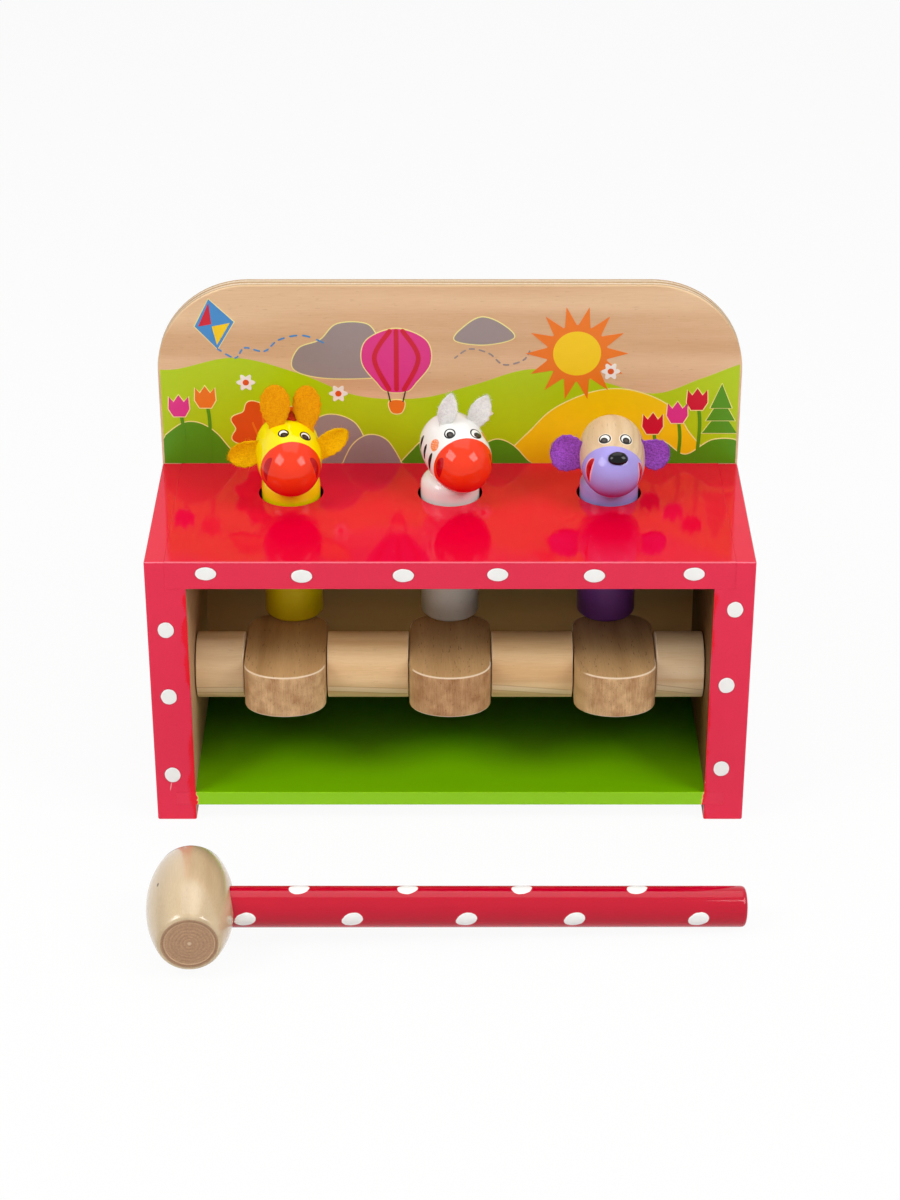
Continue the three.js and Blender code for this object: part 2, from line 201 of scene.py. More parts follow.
class Finish:
    """A material being made. node() is the one way in which nodes are added to it."""

    def __init__(self, name, owner=None):
        self.owner = owner or bpy.data.materials.new(name)
        self.owner.use_nodes = True
        self.tree = self.owner.node_tree
        self.object_point = None

    def node(self, kind, settings=None, sockets=None, output=0):
        """A new node with its settings made first, then its sockets given values or links."""
        node = self.tree.nodes.new("ShaderNode" + kind)
        for key, value in (settings or {}).items():
            setattr(node, key, value)
        self.feed(node, sockets or {})
        return Wire(self, node.outputs[output])

    def feed(self, node, sockets):
        for key, value in sockets.items():
            socket = node.inputs[key]
            if isinstance(value, Wire):
                self.tree.links.new(value.socket, socket)
            elif socket.type == "RGBA":
                socket.default_value = (*value[:3], 1)
            else:
                socket.default_value = value

    def point(self):
        """Object coordinates in metres, which are the row frame's own."""
        if self.object_point is None:
            self.object_point = self.node("TexCoord", output=3)
        return self.object_point

    def at(self, centre=(0, 0, 0), turn=(0, 0, 0), scale=(MM, MM, MM)):
        """The same point seen from a centre and a turned axis cross, in units of scale."""
        sockets = {"Vector": self.point(), "Location": centre, "Rotation": turn, "Scale": scale}
        return self.node("Mapping", {"vector_type": "TEXTURE"}, sockets)

    def axes(self, vector):
        node = self.node("SeparateXYZ", sockets={0: vector}).socket.node
        return [Wire(self, output) for output in node.outputs]

    def scaled(self, vector, factors):
        return self.node("VectorMath", {"operation": "MULTIPLY"}, {0: vector, 1: factors})

    def length(self, vector):
        return self.node("VectorMath", {"operation": "LENGTH"}, {0: vector}, output=1)

    def distance(self, vector, centre):
        return self.node("VectorMath", {"operation": "DISTANCE"}, {0: vector, 1: centre}, output=1)

    def noise(self, vector, scale, detail=2.0, roughness=0.5):
        sockets = {"Vector": vector, "Scale": scale, "Detail": detail, "Roughness": roughness}
        return self.node("TexNoise", sockets=sockets)

    def step(self, value, low, high):
        """0 below low, 1 above high and a smooth S between them."""
        settings = {"interpolation_type": "SMOOTHSTEP", "clamp": True}
        return self.node("MapRange", settings, {0: value, 1: low, 2: high})

    def fade(self, value, low, high):
        """1 below low and 0 above high: the reverse of a step."""
        return 1 - self.step(value, low, high)

    def mix(self, share, first, second, blend="MIX"):
        settings = {"data_type": "RGBA", "blend_type": blend, "clamp_factor": True}
        return self.node("Mix", settings, {0: share, 6: first, 7: second}, output=2)

    def bump(self, height):
        """A normal from a height in millimetres."""
        return self.node("Bump", sockets={"Height": height, "Distance": MM})

    def close(self, sockets):
        """Sets the finished values on the shader and returns the material."""
        self.feed(self.tree.nodes["Principled BSDF"], sockets)
        return self.owner


def wood(finish, pale, dark, turn=(0, 0, 0), pith=(0, 0.03, -0.06), ring=4.5, figure=0.45, pores=0.35):
    """Wood whose grain runs along the turned X axis. Growth rings are even steps of the distance from
    the pith line, bent by a slow noise that is stretched along the grain. Fibres are a fine noise
    stretched the same way, and pores are the peaks of a shorter one. Returns colour and height."""
    along = finish.at(pith, turn)
    slow = finish.scaled(along, (0.05, 1, 1))
    radial = finish.length(finish.scaled(along, (0, 1, 1))) + finish.noise(slow, 0.045, 2) * 16
    rings = ((radial * (2 * math.pi / ring)).sine() * 0.5 + 0.5) ** 2.2
    fibre = finish.noise(finish.scaled(along, (0.045, 1, 1)), 2.4, 3, 0.6)
    broad = finish.noise(slow, 0.12, 1)
    pore = finish.step(finish.noise(finish.scaled(along, (0.22, 1.5, 1.5)), 1.3, 1), 0.66, 0.76)
    tone = rings * figure + (fibre - 0.5) * 0.55 + (broad - 0.5) * 0.7 + 0.25
    colour = finish.mix(tone, tint(pale), tint(dark))
    colour = finish.mix(pore * pores, colour, tuple(c * 0.35 for c in tint(dark)))
    return colour, fibre * 0.03 - pore * 0.05


def dowel_finish():
    """Plain sanded wood with upright grain."""
    finish = Finish("dowel_wood")
    colour, height = wood(finish, "dfc092", "b08a58", turn=(0, math.pi / 2, 0))
    wear = finish.noise(finish.at(), 0.15, 2)
    return finish.close({
        "Base Color": colour,
        "Roughness": wear * 0.16 + 0.52,
        "Normal": finish.bump(height),
    })


def gloss(finish, colour, rough=0.1, wave=0.05, grain=(0.05, 1, 1)):
    """Brushed-on gloss paint: colour that thins a little, long waves, orange peel, faint wood fibres
    below and a few dust nibs. Returns colour, roughness and height."""
    point = finish.at()
    cloud = finish.noise(point, 0.09, 3)
    waves = finish.noise(point, 0.11, 1) * wave
    peel = finish.noise(point, 1.1, 2) * 0.006
    fibre = finish.noise(finish.scaled(point, grain), 2.0, 2) * 0.006
    settings = {"feature": "F1", "voronoi_dimensions": "3D"}
    nib = finish.node("TexVoronoi", settings, {"Vector": point, "Scale": 0.16})
    nibs = finish.fade(nib, 0.03, 0.07) * 0.05
    shade = finish.mix(cloud * 0.4, colour, finish.mix(1.0, colour, (0.82, 0.82, 0.82), "MULTIPLY"))
    return shade, cloud * 0.06 + (rough - 0.03), waves + peel + fibre + nibs


def blob(finish, centre, turn, reach):
    """Distance from a painted spot's centre in units of its reach, with its own turned axes."""
    return finish.length(finish.at(centre, turn, reach))


def moved(points, matrix):
    """Points through a 4 by 4 matrix."""
    turn = np.array(matrix)
    return points @ turn[:3, :3].T + turn[:3, 3]


def solid(name, points, faces, crease=38):
    """A closed mesh in the row frame, its faces turned outwards and smooth below the crease angle."""
    mesh = bpy.data.meshes.new(name)
    mesh.from_pydata(np.asarray(points).tolist(), [], faces)
    bare = bmesh.new()
    bare.from_mesh(mesh)
    bmesh.ops.recalc_face_normals(bare, faces=bare.faces)
    bare.to_mesh(mesh)
    bare.free()
    mesh.polygons.foreach_set("use_smooth", np.ones(len(mesh.polygons), bool))
    mesh.set_sharp_from_angle(angle=math.radians(crease))
    piece = bpy.data.objects.new(name, mesh)
    bpy.context.scene.collection.objects.link(piece)
    return piece


def skin(name, rings, tail=None, tip=None, closed=False, crease=38):
    """Rings of points, an array of rings by points by 3, joined by quads. closed joins the last ring to
    the first. Otherwise the ends run to the points tail and tip in fans."""
    count, around = rings.shape[:2]
    points = rings.reshape(-1, 3)
    grid = np.arange(count * around).reshape(count, around)
    rows = np.vstack([grid, grid[:1]]) if closed else grid
    near, far = rows[:-1], rows[1:]
    faces = np.stack([near, np.roll(near, -1, 1), np.roll(far, -1, 1), far], -1).reshape(-1, 4).tolist()
    for ring, end in ((grid[0], tail), (grid[-1], tip)):
        if end is not None:
            apex = np.full(around, len(points))
            faces += np.stack([ring, np.roll(ring, -1), apex], -1).tolist()
            points = np.vstack([points, end])
    return solid(name, points, faces, crease)


def eased_line(corners, radius, steps=4):
    """A line of corners whose inner ones are rounded: each becomes a quadratic arc that starts and ends
    at the radius, or at half the side where that is shorter."""
    corners = np.array(corners, float)
    share = np.linspace(0, 1, steps + 1)[:, None]
    line = [corners[:1]]
    for before, corner, after in zip(corners[:-2], corners[1:-1], corners[2:]):
        ends = []
        for other in (before, after):
            side = other - corner
            reach = np.linalg.norm(side)
            ends.append(corner + side / reach * min(radius, reach / 2))
        line.append((1 - share) ** 2 * ends[0] + 2 * share * (1 - share) * corner + share ** 2 * ends[1])
    return np.vstack(line + [corners[-1:]])


def turned(name, profile, matrix, around=72, closed=False, crease=38):
    """A turned form: each profile point, a radius and a height, is carried round the Z axis, and the
    matrix then puts it in place. The first and last points lie on the axis unless the profile is closed."""
    profile = np.array(profile)
    angle = np.linspace(0, 2 * np.pi, around, endpoint=False)
    radius, height = profile[:, :1], profile[:, 1:]
    rings = np.stack([radius * np.cos(angle), radius * np.sin(angle), height + 0 * angle], -1)
    if closed:
        return skin(name, moved(rings, matrix), closed=True, crease=crease)
    rings = moved(rings, matrix)
    return skin(name, rings[1:-1], rings[0, 0], rings[-1, 0], crease=crease)


def settle(piece, body, slot, material, *nodes):
    """Gives a piece its finish, seats it on a body and lets it stand for CAD nodes."""
    piece.data.materials.clear()
    piece.data.materials.append(material)
    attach(piece, body)
    if nodes:
        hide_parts(*nodes)
    return piece


def eased_board(name, node, sizes):
    """A copy of a CAD board with its loose corners merged and its outward edges rounded. Edges at a
    painted seam get the small radius, and edges under 2.5 mm stay sharp. Normals are weighted by face
    area, so that the flat faces shade evenly up to the rounding."""
    shortest, least_bend, sharp, near = 0.0025, 0.4, 0.6, 1e-5
    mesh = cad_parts[node].data.copy()
    bare = bmesh.new()
    bare.from_mesh(mesh)
    bmesh.ops.remove_doubles(bare, verts=bare.verts, dist=1e-6)
    bmesh.ops.dissolve_limit(bare, angle_limit=0.01, verts=bare.verts, edges=bare.edges)
    weight = bare.edges.layers.float.new("bevel_weight_edge")
    for edge in bare.edges:
        across = max(abs(v.co.x) for v in edge.verts)
        high = max(v.co.z for v in edge.verts)
        seam = node == "base_shelf" or abs(across - SEAM) < near
        seam = seam or abs(high - TOP_UNDERSIDE) < near and across > INNER
        bend = edge.calc_face_angle(0)
        eased = edge.is_convex and edge.calc_length() > shortest and bend > least_bend
        edge[weight] = (sizes.seam / sizes.edge if seam else 1) if eased else 0
        edge.smooth = eased or bend < sharp
    bare.to_mesh(mesh)
    bare.free()
    mesh.name = name
    mesh.polygons.foreach_set("use_smooth", np.ones(len(mesh.polygons), bool))
    piece = bpy.data.objects.new(name, mesh)
    bpy.context.scene.collection.objects.link(piece)
    bevel = piece.modifiers.new("eased edges", "BEVEL")
    bevel.width = sizes.edge
    bevel.segments = 3
    bevel.limit_method = "WEIGHT"
    bevel.use_clamp_overlap = False
    bevel.loop_slide = False
    even = piece.modifiers.new("even shading", "WEIGHTED_NORMAL")
    even.mode = "FACE_AREA"
    even.keep_sharp = True
    return piece


# Painted dots on the bench front in millimetres: place from the middle and height above the floor, and
# the half width and half height of the rail's dots and of the legs'
RAIL_DOTS = [(-95.8, 114.8), (-58.2, 113.7), (-18.3, 114.0), (18.7, 114.4), (56.6, 113.9), (95.7, 114.7)]
LEG_DOTS = [(-112.6, 89.4), (-112.8, 58.7), (-113.0, 21.7), (112.5, 98.7), (110.7, 64.0), (110.4, 24.7)]
RAIL_DOT, LEG_DOT = (4.15, 2.9), (3.2, 3.55)

# Pale brush marks on the legs: place across, height, turn in degrees, half length and half width
STRAYS = [(-113.9, 16.4, 80, 2.4, 0.22), (103.9, 17.8, 60, 0.8, 0.2), (107.4, 11.9, -30, 0.9, 0.25)]


def front_paint(finish, colours, point, x, z):
    """Thin crimson paint of the front faces, mottled by the wood, with a brighter ragged run along the
    legs' inner edges. The front red itself is lighter and pinker than the top's: painted light for the
    light and reflection that these faces catch."""
    mottle = finish.noise(point, 2.6, 3, 0.7)
    speck = finish.step(finish.noise(point, 3.2, 2), 0.6, 0.75)
    colour = finish.mix(mottle * 0.35, tuple(colours.front), tuple(c * 0.8 for c in colours.front))
    colour = finish.mix(speck * 0.3, colour, tuple(c * 0.5 for c in colours.front))
    run = (finish.noise(finish.at(), 0.07, 1) - 0.42) * 9 + (mottle - 0.5) * 4
    wet = finish.fade(abs(x) - INNER_MM - run, -0.4, 0.4) * finish.fade(z, UNDER_MM - 4, UNDER_MM)
    return finish.mix(wet, colour, tint("ee0024")), mottle


def board_finish(colours):
    """Red gloss on the outside of the bench, laid over bare wood, which is paler on the inside of the left
    board and darker on the right one, as painted light and painted shade. The paint laps a millimetre or
    so round the front edges and into the holes, unevenly, the upper part of the holes' walls is a near
    black red as painted shade, and the white dots stand a little proud."""
    finish = Finish("red_boards")
    bare, bare_height = wood(finish, "9c6c38", "5c3a18", pith=(0, 0.02, 0.3), ring=7, figure=0.3)
    red, rough, height = gloss(finish, tuple(colours.red), 0.07, 0.03)
    point = finish.at()
    x, y, z = finish.axes(point)
    # The inside of the left board is mixed paler and that of the right board darker: painted light and
    # painted shade
    right = finish.step(x, -1, 1)
    within = finish.fade(abs(x), INNER_MM + 2, INNER_MM + 3)
    other = finish.mix(right, finish.mix(0.45, bare, tint("f0c8a0")), finish.mix(0.45, bare, tint("1c0e04")))
    bare = finish.mix(within, bare, other)
    ragged = finish.noise(point, 0.5, 3)
    lap = ragged * 1.6
    outside = finish.step(abs(x), OUTER_MM - 0.9, OUTER_MM - 0.8)
    above = finish.step(z + lap, TOP_MM - 0.3, TOP_MM - 0.2)
    ahead = finish.step(y - lap, FRONT_MM + 0.3, FRONT_MM + 0.2)
    hole = 0
    for animal in HEADS:
        axis = peg_axis(animal) / MM
        reach = finish.length(finish.node("CombineXYZ", sockets={0: x - axis.x, 1: y - axis.y}))
        hole = finish.fade(reach, HOLE_RADIUS + 0.25, HOLE_RADIUS + 0.45) | hole
    hole = hole * finish.step(z + lap * 2, TOP_MM - 8, TOP_MM - 6)
    painted = outside | above | ahead | hole
    face = finish.fade(y, FRONT_MM + 0.2, FRONT_MM + 0.5)
    flat = finish.scaled(point, (1, 0, 1))
    nearest = None
    for dots, (wide, high) in ((RAIL_DOTS, RAIL_DOT), (LEG_DOTS, LEG_DOT)):
        local = finish.scaled(flat, (1 / wide, 1, 1 / high))
        for across, up in dots:
            reach = finish.distance(local, (across / wide, 0, up / high))
            nearest = reach if nearest is None else nearest & reach
    nearest = nearest + (ragged - 0.5) * 0.12
    dot = finish.fade(nearest, 0.96, 1.02) * face
    dome = finish.fade(nearest, 0.78, 1.04) * face
    rim = finish.fade(nearest, 1.02, 1.14) * face
    front, mottle = front_paint(finish, colours, point, x, z)
    for across, up, turn, long, wide in STRAYS:
        centre, reach = (across * MM, FRONT, up * MM), (long * MM, 0.002, wide * MM)
        mark = blob(finish, centre, (0, -math.radians(turn), 0), reach)
        front = finish.mix(finish.fade(mark, 0.7, 1.1) * 0.6, front, tint("ffc4c4"))
    colour = finish.mix(painted, bare, finish.mix(face, red, front))
    # The upper part of the holes' walls is a near black red: painted shade inside the holes
    colour = finish.mix(hole * finish.fade(z, TOP_MM - 0.6, TOP_MM - 0.2), colour, tint("3c0410"))
    colour = finish.mix(rim * 0.5, colour, tint("8c0c34"))
    # A pale pink line along the top front edge of the rail is a painted highlight, where the rounded edge
    # would catch the light
    wear_and_highlight = finish.fade(z + ragged * 0.5, TOP_MM - 0.05, TOP_MM - 0.35) * face
    colour = finish.mix(wear_and_highlight * 0.55, colour, tint("ff9cac"))
    colour = finish.mix(dot, colour, finish.mix(mottle * 0.15, tuple(colours.dots), tint("e4e6e0")))
    front_rough = face * (mottle * 0.1 + 0.24)
    coarse = 0.55 * (1 - painted)
    bumps = height * painted + bare_height * (1 - painted)
    bumps = bumps + dome * 0.12 + face * mottle * 0.02 + painted * 0.08
    return finish.close({
        "Base Color": colour,
        "Roughness": rough + front_rough * (1 - dot) + coarse + dot * 0.1,
        "Normal": finish.bump(bumps),
        "Specular IOR Level": 0.25,
    })


def shelf_finish(colours):
    """Green gloss on the shelf's top and front, darkening to the rear as painted shade, with a lighter
    front edge as painted light, and bare wood below. The legs' red runs over the shelf's front ends,
    with a thin unpainted line where the two paints meet."""
    finish = Finish("green_shelf")
    bare, bare_height = wood(finish, "dcb684", "b0824c")
    green, rough, height = gloss(finish, tuple(colours.green), 0.14, 0.04)
    point = finish.at()
    x, y, z = finish.axes(point)
    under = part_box("base_shelf")[0].z / MM
    face = finish.fade(y, FRONT_MM + 0.2, FRONT_MM + 0.5)
    # Painted shade: the green darkens towards the rear, under the levers and the top
    green = finish.mix(finish.step(y, FRONT_MM + 16, FRONT_MM + 76), green, tint("1c8a00"))
    # The front edge's lighter green is painted light, for the light that this face catches
    green = finish.mix(face, green, tuple(colours.green_lit_front))
    painted = finish.step(z, under + 0.1, under + 0.3) | face
    front = front_paint(finish, colours, point, x, z)[0]
    ragged = finish.noise(finish.scaled(point, (1, 0, 1)), 0.6, 2) * 3
    inward = abs(x) - INNER_MM + ragged + (z - under) * -0.15
    colour = finish.mix(finish.step(inward, 0.0, 0.2) * face, green, tint("ffd98a"))
    colour = finish.mix(finish.step(inward, 0.45, 0.65) * face, colour, front)
    return finish.close({
        "Base Color": finish.mix(painted, bare, colour),
        "Roughness": rough + 0.45 * (1 - painted) + face * 0.15,
        "Normal": finish.bump(height * painted + bare_height * (1 - painted)),
        "Specular IOR Level": 0.3,
    })


def plywood_finish():
    """Birch plywood: a pale face with fine level grain, browner and darker where it shows under the bench
    top as painted shade, and five plies that show round the edge, the cross plies darker and rougher."""
    finish = Finish("birch_plywood")
    face, height = wood(finish, "e6c79e", "c79a6c", pith=(0, 0.30, 0.10), ring=9, figure=0.35, pores=0.25)
    point = finish.at()
    y, z = finish.axes(point)[1:]
    back = BOARD_BACK / MM
    depth = y - BOARD_FRONT / MM
    ply = ((depth + finish.noise(point, 0.2, 1) * 0.3) * (2 * math.pi / 2.8)).sine()
    cross = finish.step(ply, -0.3, 0.5)
    inside = finish.step(depth, 0.55, 0.8) * finish.fade(y, back - 0.8, back - 0.55)
    end = finish.noise(finish.scaled(point, (1, 0.2, 1)), 1.6, 3)
    edge = finish.mix(cross, tint("efdcc0"), tint("c39a6d"))
    edge = finish.mix(end * 0.45, edge, tint("9a7548"))
    # Painted shade: the face below the bench top, inside the bench, is mixed towards a darker brown
    under_top_shade = finish.fade(z, UNDER_MM - 2, UNDER_MM)
    face = finish.mix(under_top_shade * finish.fade(depth, 0.5, 0.8) * 0.8, face, tint("b97a34"))
    return finish.close({
        "Base Color": finish.mix(inside, face, edge),
        "Roughness": 0.42 + inside * 0.3,
        "Normal": finish.bump(height + inside * cross * end * -0.15),
    })


def cubic(a, b, c, d, steps):
    """Points from each b towards its c on the Catmull-Rom cubic through the four rows of knots."""
    share = np.linspace(0, 1, steps, endpoint=False)[None, :, None]
    curve = b + 0.5 * share * (c - a + share * (2 * a - 5 * b + 4 * c - d + share * (3 * (b - c) + d - a)))
    return curve.reshape(-1, 2)


def closed_curve(points, steps=10):
    """A smooth closed outline through points."""
    knots = np.array(points, float)
    return cubic(*(np.roll(knots, shift, 0)[:, None] for shift in (1, 0, -1, -2)), steps)


def open_curve(points, steps=12):
    """A smooth open line through points."""
    knots = np.array([points[0], *points, points[-1]], float)
    curve = cubic(*(knots[i:len(knots) - 3 + i, None] for i in range(4)), steps)
    return np.vstack([curve, knots[-1:]])


def disc(across, up, wide, high=None, lobes=0, depth=0.0):
    """An ellipse, or a rosette whose radius swells and shrinks with the cosine of lobes times the angle."""
    angle = np.linspace(0, 2 * np.pi, 96, endpoint=False)
    swell = 1 + depth * np.cos(lobes * angle)
    return np.stack([wide * swell * np.cos(angle), (high or wide) * swell * np.sin(angle)], -1) + (across, up)


def stroke(points, width, steps=12):
    """An even line with round ends about a smooth curve: the curve moved half a width to either side
    along its normals, and a half circle round each end."""
    line = open_curve(points, steps)
    along = np.gradient(line, axis=0)
    along /= np.linalg.norm(along, axis=1)[:, None]
    side = np.stack([-along[:, 1], along[:, 0]], -1) * width / 2
    arc = np.linspace(0, np.pi, 7)[1:-1, None]
    front = line[-1] + side[-1] * np.cos(arc) + along[-1] * width / 2 * np.sin(arc)
    rear = line[0] - side[0] * np.cos(arc) - along[0] * width / 2 * np.sin(arc)
    return np.vstack([line + side, front, (line - side)[::-1], rear])


def grown(outline, extra):
    """An outline moved outwards by extra along its normals."""
    along = np.roll(outline, -1, 0) - np.roll(outline, 1, 0)
    normal = np.stack([along[:, 1], -along[:, 0]], -1)
    normal /= np.maximum(np.linalg.norm(normal, axis=1)[:, None], 1e-9)
    x, y = outline[:, 0], outline[:, 1]
    hand = np.sign(np.sum(x * np.roll(y, -1) - y * np.roll(x, -1)))
    return outline + normal * extra * hand


def on_board(outline):
    """Keeps an outline on the printed part of the back board: above the bench top and a millimetre
    inside the board's sides, which turn in above the start of its round corners."""
    side, start, corner, margin = 120, 162, 38, 1
    x, z = outline[:, 0], np.maximum(outline[:, 1], TOP_MM + 0.1)
    rise = np.clip(z - start, 0, corner - 0.1)
    half = side - (corner - np.sqrt(corner ** 2 - rise ** 2)) - margin
    return np.stack([np.clip(x, -half, half), z], -1)


# Smooth patches of the printed picture: colour, layer and outline in millimetres. Fields and bushes,
# stones, clouds and the balloon.
PATCHES = [
    ("yellow", 1, [(24, 112), (36, 138), (52, 150), (70, 154), (88, 148), (98, 136), (106, 112)]),
    ("leaf", 1, [(-140, 108), (-118, 133), (-106, 139), (-94, 130), (-86, 108)]),
    ("leaf", 2, [(-22, 108), (-14, 128), (-2, 133), (8, 126), (20, 131), (30, 124), (36, 108)]),
    ("leaf", 3, [(72, 108), (78, 124), (88, 130), (98, 124), (110, 131), (124, 128), (140, 108)]),
    ("grey", 2, [(-66, 112), (-62, 132), (-52, 142), (-40, 139), (-34, 126), (-32, 112)]),
    ("grey", 4, [(-44, 112), (-42, 126), (-34, 133), (-25, 129), (-20, 112)]),
    ("grey", 2, [
        (-64, 163), (-62, 172), (-53, 176), (-46, 183), (-34, 183), (-28, 176), (-18, 174), (-14, 165),
        (-24, 160), (-50, 159),
    ]),
    ("grey", 2, [(2, 176), (6, 182), (13, 186), (21, 183), (26, 177), (14, 174)]),
    ("pink", 5, [
        (-22, 181), (-10, 176), (-8, 166), (-14, 157), (-18, 153), (-26, 153), (-30, 157), (-36, 166),
        (-34, 176),
    ]),
]
# The outline of the hills, a tulip's cup about its middle, the tulips' middles and colours, and the two
# dashed lines: the kite's tail and a curl of wind
HILLS = [
    (-140, 110), (-140, 158), (-112, 163), (-88, 168), (-62, 161), (-38, 151), (-12, 150), (10, 156),
    (34, 163), (60, 158), (84, 152), (104, 159), (124, 166), (140, 160), (140, 110),
]
TULIP_CUP = np.array([
    (-4, 4.6), (-2.1, 2.2), (0, 5.4), (2.1, 2.2), (4, 4.6), (4.3, -1), (2.4, -4.4), (-2.4, -4.4), (-4.3, -1),
])
TULIPS = [(94, 143, "pink"), (102, 149, "red"), (84, 138, "red"), (-112, 146, "pink"), (-101, 150, "orange")]
KITE_TAIL = [(-95, 172), (-88, 168), (-84, 172.5), (-76, 171), (-70, 176), (-60, 178), (-50, 174)]
WIND = [(2, 168), (8, 172), (16, 170), (22, 165), (30, 167), (33, 172)]


def landscape():
    """The printed picture, as (colour, layer, outline) in millimetres: hills, bushes, a tree, stones and
    clouds, a striped balloon, a sun over a yellow field, a kite on a dashed line, firs and tulips."""
    ink = []

    def add(colour, layer, outline, rim="cream"):
        outline = np.asarray(outline, float)
        if rim:
            ink.append((rim, 2 * layer, on_board(grown(outline, 0.45))))
        ink.append((colour, 2 * layer + 1, on_board(outline)))

    add("lime", 0, closed_curve(HILLS, 16), None)
    for colour, layer, points in PATCHES:
        add(colour, layer, closed_curve(points))
    add("rust", 3, disc(-75, 136, 15, 13, 9, 0.09))
    for lean in (-34, -12, 12, 34):
        tip = (-75 + 12 * math.sin(math.radians(lean)), 122 + 20 * math.cos(math.radians(lean)))
        add("orange", 5, stroke([(-75, 119), tip], 0.9), None)
    balloon = -22
    for bow in (-9, 0, 9):
        stripe = [(balloon + bow * 0.3, 180), (balloon + bow, 168), (balloon + bow * 0.35, 154)]
        add("red", 7, stroke(stripe, 2.0), None)
    add("orange", 6, closed_curve([(-25, 148.5), (-19, 148.5), (-20, 143.5), (-24, 143.5)], 4))
    for side in (-1, 1):
        add("dark", 8, stroke([(balloon + side * 3.6, 153), (balloon + side * 2.6, 148.5)], 0.5, 3), None)
    sun, rays = np.array([52, 170]), 14
    for lean in 2 * math.pi * np.arange(rays) / rays:
        toward = np.array([math.cos(lean), math.sin(lean)])
        across = np.array([-toward[1], toward[0]])
        root = sun + toward * 12
        add("orange", 4, [root - across * 2.6, sun + toward * 21, root + across * 2.6], None)
    add("orange", 5, disc(*sun, 12.6), None)
    add("yellow", 6, disc(*sun, 9.8), None)
    add("blue", 3, [(-98, 194), (-88, 184), (-95, 172), (-104, 182)])
    add("red", 5, [(-98, 192.4), (-97.2, 183), (-102.6, 182)], None)
    add("yellow", 5, [(-95.2, 173.8), (-97, 182), (-89.6, 183.6)], None)
    for colour, points in (("blue", KITE_TAIL), ("grey", WIND)):
        line = open_curve(points, 8)
        for start in range(0, len(line) - 3, 4):
            add(colour, 3, stroke(line[start:start + 3], 0.7, 2), None)
    for across, up, tall in ((112, 134, 22), (2, 132, 15)):
        for tier in range(3):
            low = up + tall * tier * 0.26
            half = tall * (0.34 - 0.07 * tier)
            add("leaf", 5 + tier, [(across - half, low), (across + half, low), (across, low + tall * 0.5)])
    for across, up, colour in TULIPS:
        add("leaf", 6, stroke([(across, up), (across + 1.5, up - 12), (across, 112)], 1.4), None)
        add(colour, 8, TULIP_CUP + (across, up))
    for across, up in ((-46, 152), (66, 162), (-84, 157), (14, 143)):
        add("white", 5, disc(across, up, 3.2, 3.2, 6, 0.22), None)
        add("rust", 6, disc(across, up, 1.3), None)
    return ink


INKS = {
    "lime": "b4d600", "leaf": "4f9a08", "yellow": "f9d300", "orange": "ef7c14", "rust": "e0560a",
    "pink": "e0348c", "red": "d0102e", "blue": "3f8fd0", "grey": "9b908e", "cream": "f3ee9a",
    "white": "f4f2ea", "dark": "2c2a28",
}


def ink_finish(name, code):
    """Printing ink: nearly even, half matt, with the face veneer's grain just showing through."""
    finish = Finish(f"ink_{name}")
    point = finish.at()
    grain = finish.noise(finish.scaled(point, (0.045, 1, 1)), 2.4, 3, 0.6)
    cloud = finish.noise(point, 0.3, 2)
    colour = tint(code)
    shade = finish.mix(cloud * 0.35 + grain * 0.25, colour, tuple(c * 0.84 for c in colour))
    bump = finish.bump(grain * 0.02)
    return finish.close({"Base Color": shade, "Roughness": 0.3 + cloud * 0.12, "Normal": bump})


def ink_slabs(name, shapes, thin):
    """Thin closed slabs on the back board's face. Each outline is filled with triangles at its own
    layer's height and again just inside the board, and walls join the two along the outline."""
    points, faces, start = [], [], 0
    for layer, outline in shapes:
        count = len(outline)
        x, z = outline.T
        if np.sum(x * np.roll(z, -1) - z * np.roll(x, -1)) < 0:
            outline = outline[::-1]
        flat = [Vector(place) for place in outline.tolist()]
        corners, _, filled, *_ = delaunay_2d_cdt(flat, [], [list(range(count))], 1, 1e-4)
        x, z = np.array([tuple(place) for place in corners]).T * MM
        filled = np.array(filled)
        sides = np.concatenate([filled[:, [0, 1]], filled[:, [1, 2]], filled[:, [2, 0]]])
        partner = {tuple(side) for side in sides.tolist()}
        rim = np.array([side for side in sides.tolist() if (side[1], side[0]) not in partner])
        for y in (BOARD_FRONT + 0.0002, BOARD_FRONT - thin * (layer + 2)):
            points.append(np.stack([x, np.full(len(x), y), z], -1))
        lift = len(x)
        faces += (filled[:, ::-1] + start).tolist() + (filled + start + lift).tolist()
        faces += (np.stack([rim[:, 0], rim[:, 1], rim[:, 1] + lift, rim[:, 0] + lift], -1) + start).tolist()
        start += 2 * lift
    return solid(name, np.vstack(points), faces)


def egg_radius(along):
    """How far the egg's surface lies from its axis: a superellipse on each side of the middle, thinner by
    a steady taper towards the snout."""
    share = np.clip(np.abs(along) / np.where(along < 0, EGG_BACK, EGG_FRONT), 0, 1)
    fullness = np.where(along < 0, 2.9, 2.4)
    return EGG_RADIUS * (1 - share ** fullness) ** (1 / fullness) * (1 - 0.04 * along / EGG_FRONT)


def peg_axis(animal):
    """The middle of an animal's peg at the bench top."""
    low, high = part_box(f"{animal}_peg")
    return Vector(((low.x + high.x) / 2, (low.y + high.y) / 2, TOP))


def head_matrix(animal):
    """From the head's own axes (X to its left, Y along the snout, -Z up) to the row frame."""
    place = HEADS[animal]
    turn = Matrix.Rotation(math.radians(place["turn"]), 4, "Z")
    middle = peg_axis(animal) + Vector(place["middle"])
    return Matrix.Translation(middle) @ turn @ Matrix.Rotation(math.pi + math.radians(place["tilt"]), 4, "X")


